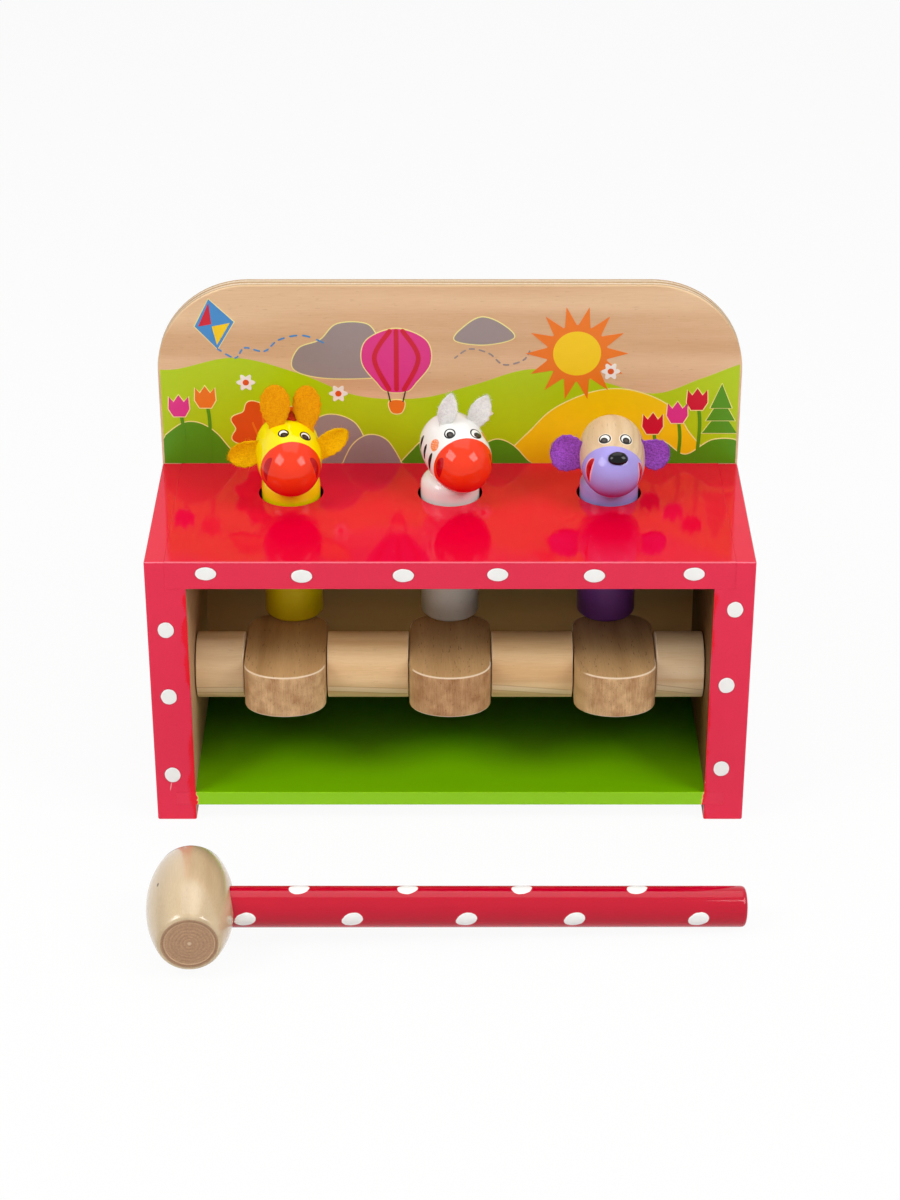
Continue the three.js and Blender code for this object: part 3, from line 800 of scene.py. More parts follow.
def on_egg(animal, right, along, up):
    """The place on an animal's egg nearest to a point given to the right, along and up, with its normal:
    a matrix whose Z axis points out of the surface and whose Y axis runs towards the snout."""
    spread = math.hypot(right, up)
    radius = float(egg_radius(along * MM))
    slope = float(egg_radius(along * MM + 1e-5) - egg_radius(along * MM - 1e-5)) / 2e-5
    out = Vector((right / spread, -slope, -up / spread)).normalized()
    ahead = (Vector((0, 1, 0)) - out * out.y).normalized()
    place = Vector((right / spread * radius, along * MM, -up / spread * radius))
    axes = Matrix((ahead.cross(out), ahead, out)).transposed().to_4x4()
    return head_matrix(animal) @ Matrix.Translation(place) @ axes


def spot(finish, animal, place, twist, wide, high, extra=0.0):
    """Distance from a painted ellipse on an egg, 1 at its rim: the place to the right, along and up, a
    twist in degrees about the surface's normal, and half sizes in millimetres that extra adds to."""
    own = on_egg(animal, *place) @ Matrix.Rotation(math.radians(twist), 4, "Z")
    reach = ((wide + extra) * MM, (high + extra) * MM, 0.004)
    return blob(finish, tuple(own.translation), tuple(own.to_euler("XYZ")), reach)


def crease(angle, along, first, last, start, drop, half):
    """A painted crease's half width beside a point, and how far the point lies from its middle line, in
    millimetres. The crease runs round the egg between two angles. Its middle line drops towards the
    snout with the 1.3rd power of the share travelled, and its half width is a sine of that share that
    swells early."""
    share = ((angle - first) / (last - first) | 0.0) & 1.0
    middle = share ** 1.3 * drop + start
    width = ((share ** 0.75 * math.pi).sine() | 0.0) ** 0.7 * half
    return width, abs(along - middle)


def head_finish(animal, colours):
    """Paint on a head. Snout paint starts at a plane across the egg. Eyes, stripes and cheek spots are
    ellipses on the surface, and creases are bands beside the snout."""
    finish = Finish(f"{animal}_head_paint")
    marks = FACES[animal]
    own = head_matrix(animal)
    local = finish.at(tuple(own.translation), tuple(own.to_euler("XYZ")))
    right, along, down = finish.axes(local)
    if marks["base"]:
        colour, rough, height = gloss(finish, tuple(getattr(colours, marks["base"])), 0.1, 0.012)
    else:
        turn = tuple((own @ Matrix.Rotation(math.pi / 2, 4, "Z")).to_euler("XYZ"))
        pith = (0.1, 0.03, 0.05)
        colour, grain = wood(finish, "e2c8a2", "c09a70", turn=turn, pith=pith, ring=3.4, figure=0.3)
        rough, height = finish.noise(finish.at(), 0.3, 2) * 0.1 + 0.3, grain * 0.5
    ragged = (finish.noise(local, 0.6, 2) - 0.5) * 0.35
    slant, lift, start = marks["rim"]
    rim = along + right * slant - down * lift + ragged - start
    cap = finish.step(rim, -0.12, 0.12)
    # Towards its lower side the snout paint turns to its second colour: a painted reflection of the red bench
    # top
    deep = finish.step(down, -2.0, 9.0)
    paint = finish.mix(deep, tuple(getattr(colours, marks["snout"])), tuple(getattr(colours, marks["shade"])))
    snout, snout_rough, snout_height = gloss(finish, paint, 0.07, 0.02)
    colour = finish.mix(cap, colour, snout)
    rough = rough * (1 - cap) + snout_rough * cap
    height = height * (1 - cap) + snout_height * cap + finish.step(rim, -0.3, 0.3) * 0.08
    angle = right.math("ARCTAN2", right, 0 - down) * (180 / math.pi)
    for band in marks["creases"]:
        width, off = crease(angle, along, *band)
        if marks["edged"]:
            colour = finish.mix(finish.step(width * 1.4 - off, 0.02, 0.18), colour, tint("f2b4cc"))
        colour = finish.mix(finish.step(width - off, 0.02, 0.18), colour, tuple(colours.crease))
    for stripe in marks["stripes"]:
        whole = spot(finish, animal, *stripe)
        colour = finish.mix(finish.fade(whole, 0.94, 1.04), colour, tint("141210"))
    for cheek in marks["cheeks"]:
        whole = spot(finish, animal, *cheek)
        lines = (finish.noise(finish.scaled(local, (0.7, 1.6, 1.0)), 1.5, 2) * 26).sine()
        scribble = finish.step(lines, -0.95, -0.2) * 0.55 + 0.45
        colour = finish.mix(finish.fade(whole, 0.86, 1.04) * scribble, colour, tint("f87c08"))
    for eye, pupil in marks["eyes"]:
        outer = spot(finish, animal, *eye)
        if marks["edged"]:
            halo = spot(finish, animal, *eye, extra=0.35)
            colour = finish.mix(finish.fade(halo, 0.9, 1.04), colour, tint("f7ead6"))
        inner = spot(finish, animal, *eye, extra=-0.6)
        iris = spot(finish, animal, *pupil)
        colour = finish.mix(finish.fade(outer, 0.95, 1.03), colour, tint("0c0a0a"))
        colour = finish.mix(finish.fade(inner, 0.94, 1.04), colour, tint("f8f6f0"))
        # The pupil is a lighter brown grey in its middle and fades to black at its edge: a painted highlight
        dark = finish.mix(finish.step(iris, 0.1, 0.9), tint("4a423c"), tint("0c0a0a"))
        colour = finish.mix(finish.fade(iris, 0.94, 1.04), colour, dark)
        height = height + finish.fade(outer, 0.9, 1.06) * 0.05
    return finish.close({
        "Base Color": colour, "Roughness": rough, "Normal": finish.bump(height), "Specular IOR Level": 0.27,
    })


# Painted faces, in millimetres and degrees. An ellipse has its place (right of, along and above the
# egg's axis), twist and half sizes, and an eye is the ellipse of its outline and that of its pupil. The
# snout's rim is a plane: slant to the right, lift and start. A crease has its first and last angle
# round the axis, where it starts along it, its drop and half its width.
FACES = {
    "giraffe": {
        "base": "lemon", "snout": "snout", "shade": "snout_painted_reflection", "rim": (0.0, 0.19, 7.8), "edged": False,
        "eyes": [
            (((-2.3, 0.2, 13.0), -54, 2.44, 2.20), ((-2.0, 1.1, 13.0), -27, 1.65, 1.25)),
            (((6.6, 0.8, 11.4), 33, 2.70, 2.40), ((6.5, 1.4, 11.4), 3, 1.64, 1.42)),
        ],
        "creases": [(-42, -98, 9.9, 2.7, 1.8), (42, 96, 11.0, 2.0, 1.7)],
        "stripes": [], "cheeks": [],
    },
    "zebra": {
        "base": "white", "snout": "snout", "shade": "snout_painted_reflection", "rim": (-0.09, 0.14, 7.7), "edged": False,
        "eyes": [
            (((-4.7, 1.1, 12.3), -90, 2.81, 2.39), ((-4.8, 1.8, 12.2), -77, 1.83, 1.46)),
            (((6.0, 2.9, 11.6), 49, 3.36, 2.60), ((6.4, 3.6, 11.3), 38, 2.15, 1.45)),
        ],
        "creases": [(-56, -102, 8.9, 1.2, 1.95), (54, 100, 10.8, 1.2, 1.6)],
        "stripes": [
            ((hand * right, along, up), hand * -twist, wide, high)
            for hand in (-1, 1)
            for right, along, up, twist, wide, high in (
                (12.8, -8.3, 2.2, 5, 3.3, 1.2),
                (13.2, -3.0, 1.4, 7, 3.6, 1.05),
                (13.0, 2.8, 0.6, 2, 4.4, 1.2),
            )
        ],
        "cheeks": [((-10.8, 1.1, 7.5), 72, 2.82, 2.48), ((10.8, 1.1, 7.5), -72, 2.82, 2.48)],
    },
    "dog": {
        "base": None, "snout": "lilac", "shade": "lilac_painted_reflection", "rim": (-0.08, 0.0, 7.3), "edged": True,
        "eyes": [
            (((-3.6, 2.9, 12.5), -61, 2.72, 2.49), ((-3.9, 3.7, 12.4), -50, 1.77, 1.38)),
            (((5.0, 2.6, 12.1), 62, 3.09, 2.52), ((5.0, 3.4, 12.0), 58, 1.90, 1.43)),
        ],
        "creases": [(-44, -100, 10.2, 3.2, 1.6), (59, 113, 9.9, 2.8, 1.45)],
        "stripes": [], "cheeks": [],
    },
}


# Felt pieces in millimetres: length, width, the share of the length where they are widest, root width,
# place from the head's middle (right, back, up), swing to the right and lean backwards in degrees, how
# deep they cup, how pointed the tip is (0.5 is a half ellipse), and colour
FELTS = {
    "giraffe_left_ear": (12.6, 10.6, 0.38, 8.4, -12.7, 2, 2.3, -106, 14, 0.5, 0.6, "amber"),
    "giraffe_right_ear": (13.4, 9.5, 0.4, 8, 12.6, 2, 2.6, 56, 14, 0.35, 0.55, "amber"),
    "giraffe_left_horn": (17.3, 12.3, 0.55, 5.4, -5.1, 2, 13.2, 0, 4, 0.1, 0.5, "orange"),
    "giraffe_right_horn": (17.6, 11.4, 0.55, 4.8, 7.6, 4.6, 11.4, -1, 4, 0.1, 0.5, "orange"),
    "giraffe_tuft": (3.9, 4.4, 0.4, 3.4, 1, 4.9, 13.6, 0, 10, 0.0, 0.5, "tuft"),
    "zebra_left_ear": (13, 7.8, 0.42, 4, -5.3, 1.4, 13.2, 13, 4, 0.45, 0.75, "white"),
    "zebra_right_ear": (12.9, 8.9, 0.4, 6, 6.7, 6.6, 11, 25, 4, 0.3, 0.8, "white"),
    "dog_left_ear": (12.6, 15.0, 0.5, 10, -12.6, 2, -0.2, -73, 14, 0.25, 0.5, "purple"),
    "dog_right_ear": (10.8, 12.6, 0.5, 9, 12.6, 2, 2.2, 104, 14, 0.25, 0.5, "purple"),
}
# How far a felt piece is tucked into its head, and the smallest side that its cloth is cut to
FELT_TUCK = 4
FELT_LEAST = 10
# Each felt's slot, and how its darkest and brightest fibres compare with its colour
FELT_TONES = {
    "amber": ("yellow_felt", 0.8, 1.25),
    "orange": ("orange_felt", 0.84, 1.4),
    "tuft": ("red_felt", 0.7, 1.3),
    "white": ("white_felt", 0.86, 1.1),
    "purple": ("purple_felt", 0.6, 1.9),
}


def felt_rings(shape, thick, rows=40, around=48):
    """A soft leaf of felt. Its half width follows a quadratic from the root to the shoulder, and from
    there falls as 1 less the square of the share of the way to the tip, to the tip's own power. Across,
    it is a flattened superellipse, which thins towards the tip and cups forwards with the square of the
    distance from its middle line. Small sines make it lumpy."""
    length, width, widest, root = shape[:4]
    cup, tip = shape[9:11]
    side, shoulder = width / 2, length * widest
    share = (1 - np.cos(np.linspace(0.06, np.pi - 0.05, rows))) / 2
    up = share * (length + FELT_TUCK) - FELT_TUCK
    climb = np.clip(up / shoulder, 0, 1)
    lower = root / 2 * (1 - climb) ** 2 + side * (1 - (1 - climb) ** 2)
    over = np.clip((up - shoulder) / (length - shoulder), 0, 1)
    half = np.where(up > shoulder, side * (1 - over ** 2) ** tip, lower)
    angle = np.linspace(0, 2 * np.pi, around, endpoint=False)
    east, north = (np.sign(wave) * np.abs(wave) ** 0.62 for wave in (np.cos(angle), np.sin(angle)))
    body = thick / 2 / MM * np.clip(half / side, 0, 1) ** 0.35
    lump = 1 + 0.1 * np.sin(1.9 * up[:, None] + 3 * angle) * np.sin(2.3 * up[:, None] - 2 * angle + 1)
    x = half[:, None] * east * (1 + 0.03 * np.sin(2.1 * up[:, None] + 2 * angle))
    z = body[:, None] * north * lump
    z = z + cup * (x ** 2 / side)
    return np.stack([x, up[:, None] + 0 * x, z], -1) * MM


def felt_matrix(name):
    """Where a felt piece grows from: its root on the head, swung and leaned."""
    animal = name.split("_")[0]
    right, back, up, swing, lean = FELTS[name][4:9]
    root = peg_axis(animal) + Vector(HEADS[animal]["middle"]) + Vector((right, back, up)) * MM
    stand = Matrix.Rotation(math.pi / 2 - math.radians(lean), 4, "X")
    return Matrix.Translation(root) @ stand @ Matrix.Rotation(-math.radians(swing), 4, "Z")


def felt_finish(name, colour, darkest, brightest):
    """Wool felt: matted fibres as two crossing fine noises, tones that drift, and a soft sheen."""
    finish = Finish(name)
    point = finish.at()
    first = finish.noise(finish.scaled(point, (1, 1, 0.35)), 2.6, 3, 0.7)
    second = finish.noise(finish.scaled(point, (0.35, 1, 1)), 2.4, 3, 0.7)
    clump = finish.noise(point, 0.6, 2)
    tone = finish.step(first * second * 2.0 + (clump - 0.5) * 0.25, 0.15, 0.75)
    deep, bright = (tuple(min(c * factor, 1) for c in colour) for factor in (darkest, brightest))
    return finish.close({
        "Base Color": finish.mix(tone, deep, bright),
        "Roughness": 0.95,
        "Normal": finish.bump((first + second) * 0.4 + clump * 0.3),
        "Sheen Weight": 0.06,
        "Sheen Roughness": 0.5,
        "Sheen Tint": bright,
        "Specular IOR Level": 0.1,
    })


def fuzz(name, rings, matrix, count, seed):
    """Loose fibres on a felt piece. Each starts at a random point of the surface beyond the lowest rings
    and leaves it along a mix of its normal and a random direction, as a thin three-sided hair in three
    lengths."""
    dice = np.random.default_rng(seed)
    lowest, knots, sides = 6, 4, 3
    rows, around = rings.shape[:2]
    along = np.roll(rings, -1, 0) - np.roll(rings, 1, 0)
    across = np.roll(rings, -1, 1) - np.roll(rings, 1, 1)
    normal = np.cross(across, along)
    normal /= np.maximum(np.linalg.norm(normal, axis=-1)[..., None], 1e-12)
    row, column = dice.integers(lowest, rows - 1, count), dice.integers(0, around, count)
    root, out = rings[row, column], normal[row, column]
    root = root + dice.normal(0, 0.00016, (count, 3))
    way = out * 0.55 + dice.normal(0, 0.7, (count, 3))
    way /= np.linalg.norm(way, axis=1)[:, None]
    bend = dice.normal(0, 0.5, (count, 3))
    reach = dice.uniform(0.0005, 0.0014, (count, 1))
    share = np.linspace(0, 1, knots)[None, :, None]
    line = root[:, None] + reach[:, None] * (way[:, None] * share + bend[:, None] * share ** 2)
    line = line - out[:, None] * 0.0002
    side = np.cross(way, np.array([0.3, 0.5, 0.8]))
    side /= np.maximum(np.linalg.norm(side, axis=1)[:, None], 1e-9)
    other = np.cross(way, side)
    angle = np.arange(sides) * 2 * np.pi / sides
    hair = side[:, None] * np.cos(angle)[None, :, None] + other[:, None] * np.sin(angle)[None, :, None]
    thin = np.array([0.000026, 0.000024, 0.000018, 0.000004])[None, :, None, None]
    tube = line[:, :, None] + hair[:, None] * thin
    points = tube.reshape(-1, 3)
    grid = np.arange(count * knots * sides).reshape(count, knots, sides)
    near, far = grid[:, :-1], grid[:, 1:]
    quads = np.stack([near, np.roll(near, -1, 2), np.roll(far, -1, 2), far], -1).reshape(-1, 4)
    ends = np.concatenate([grid[:, 0], grid[:, -1]])
    return solid(name, moved(points, matrix), quads.tolist() + ends.tolist(), 180)


class MakeBoards(bpy.types.Operator):
    """Side boards, top board, shelf and back board with eased edges"""

    bl_idname = "pounding_bench.boards"
    bl_label = "Boards"

    def execute(self, context):
        sizes, colours = context.scene.bench_sizes, context.scene.paint_colours
        red = board_finish(colours)
        boards = {
            "left_side_panel": ("red_paint", red),
            "right_side_panel": ("red_paint", red),
            "top_board": ("red_paint", red),
            "base_shelf": ("green_paint", shelf_finish(colours)),
            "back_board": ("plywood", plywood_finish()),
        }
        for node, (slot, material) in boards.items():
            settle(eased_board(f"eased_{node}", node, sizes), "bench", slot, material, node)
        return {"FINISHED"}


class MakePrint(bpy.types.Operator):
    """The printed landscape on the back board, one piece for each ink"""

    bl_idname = "pounding_bench.print"
    bl_label = "Printed landscape"

    def execute(self, context):
        shapes = landscape()
        for name, code in INKS.items():
            own = [(layer, outline) for colour, layer, outline in shapes if colour == name]
            slabs = ink_slabs(f"print_{name}", own, context.scene.bench_sizes.ink)
            settle(slabs, "bench", "plywood", ink_finish(name, code))
        return {"FINISHED"}


class MakeHardware(bpy.types.Operator):
    """The steel rod and the eight countersunk screws"""

    bl_idname = "pounding_bench.hardware"
    bl_label = "Rod and screws"

    def execute(self, context):
        steel = Finish("drawn_steel")
        point = steel.at()
        lines = steel.noise(steel.scaled(point, (0.03, 1, 1)), 4, 2)
        rod_steel = steel.close({
            "Base Color": steel.mix(lines * 0.4, tint("c9cbcd"), tint("8d9093")),
            "Metallic": 1.0,
            "Roughness": lines * 0.2 + 0.16,
            "Normal": steel.bump(lines * 0.004),
        })
        low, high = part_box("axle_rod")
        middle, half, radius = (low + high) / 2, (high.x - low.x) / 2, (high.z - low.z) / 2
        edge = 0.0003
        end = [(radius, half - edge), (radius - edge, half), (0, half)]
        profile = [(across, -along) for across, along in end[::-1]] + end
        along_x = Matrix.Translation(middle) @ Matrix.Rotation(math.pi / 2, 4, "Y")
        settle(turned("steel_rod", profile, along_x, 48), "bench", "rod_steel", rod_steel, "axle_rod")
        zinc = Finish("zinc_plate")
        spots = zinc.noise(zinc.at(), 1.2, 3)
        screw_steel = zinc.close({
            "Base Color": zinc.mix(spots, tint("c4c2b8"), tint("8f8c80")),
            "Metallic": 1.0,
            "Roughness": spots * 0.25 + 0.22,
            "Normal": zinc.bump(spots * 0.01),
        })
        for number in range(1, 9):
            node = f"back_screw_{number}"
            low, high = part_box(node)
            face = Vector(((low.x + high.x) / 2, high.y, (low.z + high.z) / 2))
            outward = Matrix.Translation(face) @ Matrix.Rotation(-math.pi / 2, 4, "X")
            settle(screw(f"zinc_screw_{number}", outward, number), "bench", "screw_steel", screw_steel, node)
        return {"FINISHED"}


def screw(name, matrix, number):
    """A countersunk screw about Z with its face at 0. The thread is a sine of the height and the angle
    together, and the cross recess is sunk where a face point lies near either of two crossed lines."""
    core, head, tip = 1.35, 3.15, -20
    low, high, rows, depth = -17.2, -3.2, 85, 0.14
    profile = eased_line([(0, tip), (core, -17.4), (core, -2.2), (head, -0.25), (head, 0), (2.6, 0)], 0.15, 3)
    shank = np.stack([np.full(rows, core), np.linspace(low, high, rows)], -1)
    outside = np.vstack([profile[1:5], shank, profile[profile[:, 1] > -2.6]])
    inward = np.stack([np.linspace(2.5, 0.08, 16), np.zeros(16)], -1)
    line = np.vstack([outside, inward])
    angle = np.linspace(0, 2 * np.pi, 32, endpoint=False)
    radius, height = line[:, :1] + 0 * angle, line[:, 1:] + 0 * angle
    threaded = (height > low - 0.1) & (height < high + 0.1)
    radius = radius + threaded * depth * np.sin(2 * np.pi * height + angle)
    x, y = radius * np.cos(angle), radius * np.sin(angle)
    turn = 0.7 * number
    a, b = x * math.cos(turn) + y * math.sin(turn), y * math.cos(turn) - x * math.sin(turn)
    narrow, long = 0.36, 1.7
    first = np.maximum(np.abs(a) / narrow, np.abs(b) / long)
    second = np.maximum(np.abs(b) / narrow, np.abs(a) / long)
    arm = np.minimum(first, second)
    sunk = np.clip((1.25 - arm) / 0.5, 0, 1) * 1.1 * np.clip(1.2 - radius / 2.4, 0, 1)
    height = height - sunk * (height > -0.01)
    rings = moved(np.stack([x, y, height], -1) * MM, matrix)
    deepest = moved(np.array([[0, 0, -1.3]]) * MM, matrix)
    point = moved(np.array([[0, 0, tip]]) * MM, matrix)
    return skin(name, rings, point, deepest, crease=50)


class MakeLevers(bpy.types.Operator):
    """The three see-saw levers, each with its cross bore"""

    bl_idname = "pounding_bench.levers"
    bl_label = "Levers"

    def execute(self, context):
        for number, animal in enumerate(HEADS):
            node = f"{animal}_lever"
            low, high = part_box(node)
            rings = lever_rings(high - low) + np.array((low + high) / 2)
            material = lever_finish(f"{node}_wood", number, low, high)
            settle(skin(f"{node}_block", rings, closed=True), node, "lever_wood", material, node)
        return {"FINISHED"}


# Pale and dark tone of each lever's end grain, from the left
LEVER_GRAINS = [("e2bb8b", "99622f"), ("cfa374", "8b5526"), ("e0b988", "97602d")]


def lever_finish(name, number, low, high):
    """Sanded wood, brown and flecked with short pores on top. The rounded ends show mottled end grain
    with upright streaks and dark specks, and a pale line along their upper and lower edges is a painted
    highlight."""
    finish = Finish(name)
    middle = (low + high) / 2
    colour, height = wood(
        finish, "cfa673", "98703f", turn=(0, 0, math.pi / 2 + 0.03 * number), figure=0.18,
        pith=(middle.x + 0.02 - 0.015 * number, 0, middle.z - 0.05), ring=8, pores=0.6,
    )
    local = finish.at(tuple(middle), (0, 0, 0.2 * number))
    y, z = finish.axes(local)[1:]
    reach = (high.y - low.y) / 2 / MM
    round_end = finish.step(abs(y), reach - 12, reach - 9)
    end = round_end * finish.fade(abs(z), 8.6, 8.8)
    # A pale line on the round ends' upper and lower edges: a painted highlight
    rim = round_end * finish.step(abs(z), 8.6, 8.8) * finish.fade(abs(z), 9.16, 9.22)
    streak = finish.noise(finish.scaled(local, (1, 1, 0.12)), 1.5, 3, 0.6)
    cloud = finish.noise(local, 0.16, 2)
    fleck = finish.noise(finish.scaled(local, (1, 1, 0.5)), 2.2, 2, 0.7)
    pale, dark = LEVER_GRAINS[number]
    grain = finish.mix(streak * 0.8 + (cloud - 0.5) * 1.4, tint(pale), tint(dark))
    grain = finish.mix(finish.step(fleck, 0.58, 0.7) * 0.5, grain, tint("7a4a26"))
    colour = finish.mix(end, colour, grain)
    return finish.close({
        "Base Color": finish.mix(rim * 0.7, colour, tint("fbe8cc")),
        "Roughness": 0.6,
        "Normal": finish.bump(height + end * fleck * 0.05),
        "Specular IOR Level": 0.3,
    })


def lever_rings(size, edge=0.0006, rows=34):
    """A see-saw block about its pivot, as slices across its width. A slice is a rounded oblong: its
    ends follow half an ellipse in plan and draw in near the top and bottom by a quarter circle. The
    slices run from one side to the other, and a bore closes them into a ring."""
    half, reach, thick = size.x / 2, size.y / 2, size.z / 2
    nose = 0.0115
    straight = reach - nose
    x = half * np.sin(np.linspace(-np.pi / 2, np.pi / 2, rows))
    draw = np.clip(np.abs(x) - (half - edge), 0, edge)
    top = thick - edge + np.sqrt(np.maximum(edge ** 2 - draw ** 2, 0))
    flat, bend = 22, 19
    fall = np.sin(np.linspace(-np.pi / 2, np.pi / 2, bend))
    z_end = -fall[None] * top[:, None]
    inset = edge - np.sqrt(np.maximum(edge ** 2 - np.clip(np.abs(z_end) - (thick - edge), 0, edge) ** 2, 0))
    wide = half - inset
    y_end = straight + (nose - inset) * np.sqrt(np.clip(1 - (x[:, None] / wide) ** 2, 0, 1))
    run = np.linspace(-1, 1, flat + 2)[None, 1:-1]
    y = np.concatenate([run * y_end[:, :1], y_end, -run * y_end[:, -1:], -y_end[:, ::-1]], 1)
    z = np.concatenate([top[:, None] + 0 * run, z_end, -top[:, None] + 0 * run, -z_end], 1)
    z[:, flat + bend + flat:] = z_end[:, ::-1]
    slices = np.stack([x[:, None] + 0 * y, y, z], -1)
    angle = np.arctan2(z[0], y[0])
    unit = np.stack([0 * angle, np.cos(angle), np.sin(angle)], -1)
    bore = [(BORE + LIP, half), (BORE, half - LIP), (BORE, LIP - half), (BORE + LIP, -half)]
    return np.concatenate([slices, np.array([unit * radius + (place, 0, 0) for radius, place in bore])])


class MakeSpacers(bpy.types.Operator):
    """The four loose round spacers on the rod"""

    bl_idname = "pounding_bench.spacers"
    bl_label = "Spacers"

    def execute(self, context):
        for number, side in enumerate(("left_outer", "left_inner", "right_inner", "right_outer")):
            node = f"{side}_spacer"
            low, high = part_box(node)
            middle, half, radius = (low + high) / 2, (high.x - low.x) / 2, (high.z - low.z) / 2
            mouth, inset, edge = BORE + LIP, BORE + 0.004, 0.0005
            outside = eased_line([(inset, half), (radius, half), (radius, -half), (inset, -half)], edge, 5)
            bore = [(mouth, -half), (BORE, LIP - half), (BORE, half - LIP)]
            profile = np.vstack([[(mouth, half)], outside, bore])
            along_x = Matrix.Translation(middle) @ Matrix.Rotation(math.pi / 2, 4, "Y")
            pine = spacer_finish(f"{node}_wood", number, middle, half)
            piece = turned(f"{node}_ring", profile, along_x, 96, closed=True)
            settle(piece, node, "bare_wood", pine, node)
        return {"FINISHED"}


# Pale and dark tone of each spacer's wood, from the left
SPACER_TONES = [("fadcae", "d0a262"), ("f6d3a0", "cb985c"), ("f6d3a0", "cb985c"), ("fce4bc", "dcae72")]


def spacer_finish(name, number, middle, half):
    """Turned pine. Its ends have a pale rim, a painted highlight, and a growth ring runs along its lower
    front: two thin dark lines with a pale band between them, which bend a little."""
    finish = Finish(name)
    colour, height = wood(
        finish, *SPACER_TONES[number], turn=(0.5 * number, 0, 0), figure=0.3, pores=0.1, ring=6.5,
        pith=(0, middle.y + 0.03 - 0.01 * number, middle.z - 0.012),
    )
    local = finish.at(tuple(middle))
    x, y, z = finish.axes(local)
    bend = z + finish.noise(finish.scaled(local, (0.25, 1, 1)), 0.2, 1) * 1.2 + 0.05 * number * x
    front = finish.fade(y, -2.0, 0.0)
    band = finish.step(bend, -6.2, -5.4) * finish.fade(bend, -3.4, -2.6) * front
    lines = (finish.fade(abs(bend + 2.9), 0.1, 0.35) | finish.fade(abs(bend + 5.9), 0.1, 0.4)) * front
    colour = finish.mix(band * 0.5, colour, tint("f8e0c0"))
    colour = finish.mix(lines * 0.45, colour, tint("b98a52"))
    # A pale rim at each end: a painted highlight
    rim = finish.step(abs(x), half / MM - 0.35, half / MM - 0.25)
    wear = finish.noise(finish.at(), 0.15, 2)
    return finish.close({
        "Base Color": finish.mix(rim * 0.6, colour, tint("fdebd2")),
        "Roughness": wear * 0.16 + 0.42,
        "Normal": finish.bump(height),
    })


class MakePegs(bpy.types.Operator):
    """The three painted pegs and the dowels in them"""

    bl_idname = "pounding_bench.pegs"
    bl_label = "Pegs"

    def execute(self, context):
        colours = context.scene.paint_colours
        paints = {
            "giraffe": ("yellow_paint", colours.lemon, colours.lemon),
            "zebra": ("white_paint", colours.white, colours.white),
            "dog": ("purple_paint", colours.lilac, colours.purple),
        }
        dowel = dowel_finish()
        for animal, (slot, neck, shaft) in paints.items():
            finish = Finish(f"{animal}_peg_paint")
            upper, rough, height = gloss(finish, tuple(neck), 0.12, 0.02, (1, 1, 0.05))
            z = finish.axes(finish.at())[2]
            low = finish.fade(z, TOP_MM - 4, TOP_MM - 3.4)
            wear_and_highlight = finish.step(finish.noise(finish.at(), 0.35, 4), 0.64, 0.72)
            lower = finish.mix(wear_and_highlight * 0.35, tuple(shaft), tuple(c * 0.8 for c in shaft))
            colour = finish.mix(low, upper, lower)
            material = finish.close({
                "Base Color": colour,
                "Roughness": rough + low * 0.22 + wear_and_highlight * 0.1,
                "Normal": finish.bump(height),
            })
            node = f"{animal}_peg"
            settle(peg(f"{node}_turned", animal), animal, slot, material, node)
            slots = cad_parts[f"{animal}_head_dowel"].data.materials
            slots.clear()
            slots.append(dowel)
        return {"FINISHED"}


def peg(name, animal):
    """A peg with an eased foot and a round shoulder. Its top is a saddle: where the egg hangs lower than
    the turned profile, the height drops to the egg's underside, found by halving."""
    axis = peg_axis(animal)
    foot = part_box(f"{animal}_peg")[0].z - TOP
    side, ease, rise = 0.012, 0.005, 0.004
    arc = np.linspace(0, np.pi / 2, 7)[1:]
    shoulder = np.stack([side - ease + ease * np.cos(arc), rise + ease * np.sin(arc)], -1)
    lower = eased_line([(0, foot), (side - MM, foot), (side, foot + MM), (side, -0.02)], 0.0004, 3)
    upright = np.stack([np.full(8, side), np.linspace(-0.012, 0.0035, 8)], -1)
    inward = np.stack([np.linspace(0.0066, 0.0004, 14), np.full(14, rise + ease)], -1)
    profile = np.vstack([lower[1:], upright, shoulder, inward])
    angle = np.linspace(0, 2 * np.pi, 72, endpoint=False)
    x, y = profile[:, :1] * np.cos(angle), profile[:, :1] * np.sin(angle)
    height = profile[:, 1:] + 0 * angle
    back = np.array(head_matrix(animal).inverted())

    def inside(z):
        local = moved(np.stack([x + axis.x, y + axis.y, z + axis.z], -1), back)
        return np.hypot(local[..., 0], local[..., 2]) < egg_radius(local[..., 1]) + 0.0003

    above, below = height.copy(), np.minimum(height, -0.004)
    cut = inside(above)
    for _ in range(24):
        middle = (above + below) / 2
        deep = inside(middle)
        above, below = np.where(deep, middle, above), np.where(deep, below, middle)
    height = np.where(cut, below, height)
    rings = np.stack([x, y, height], -1) + np.array(axis)
    centre = rings[-1].mean(0)
    return skin(name, rings, np.array(axis) + (0, 0, foot), centre, crease=42)


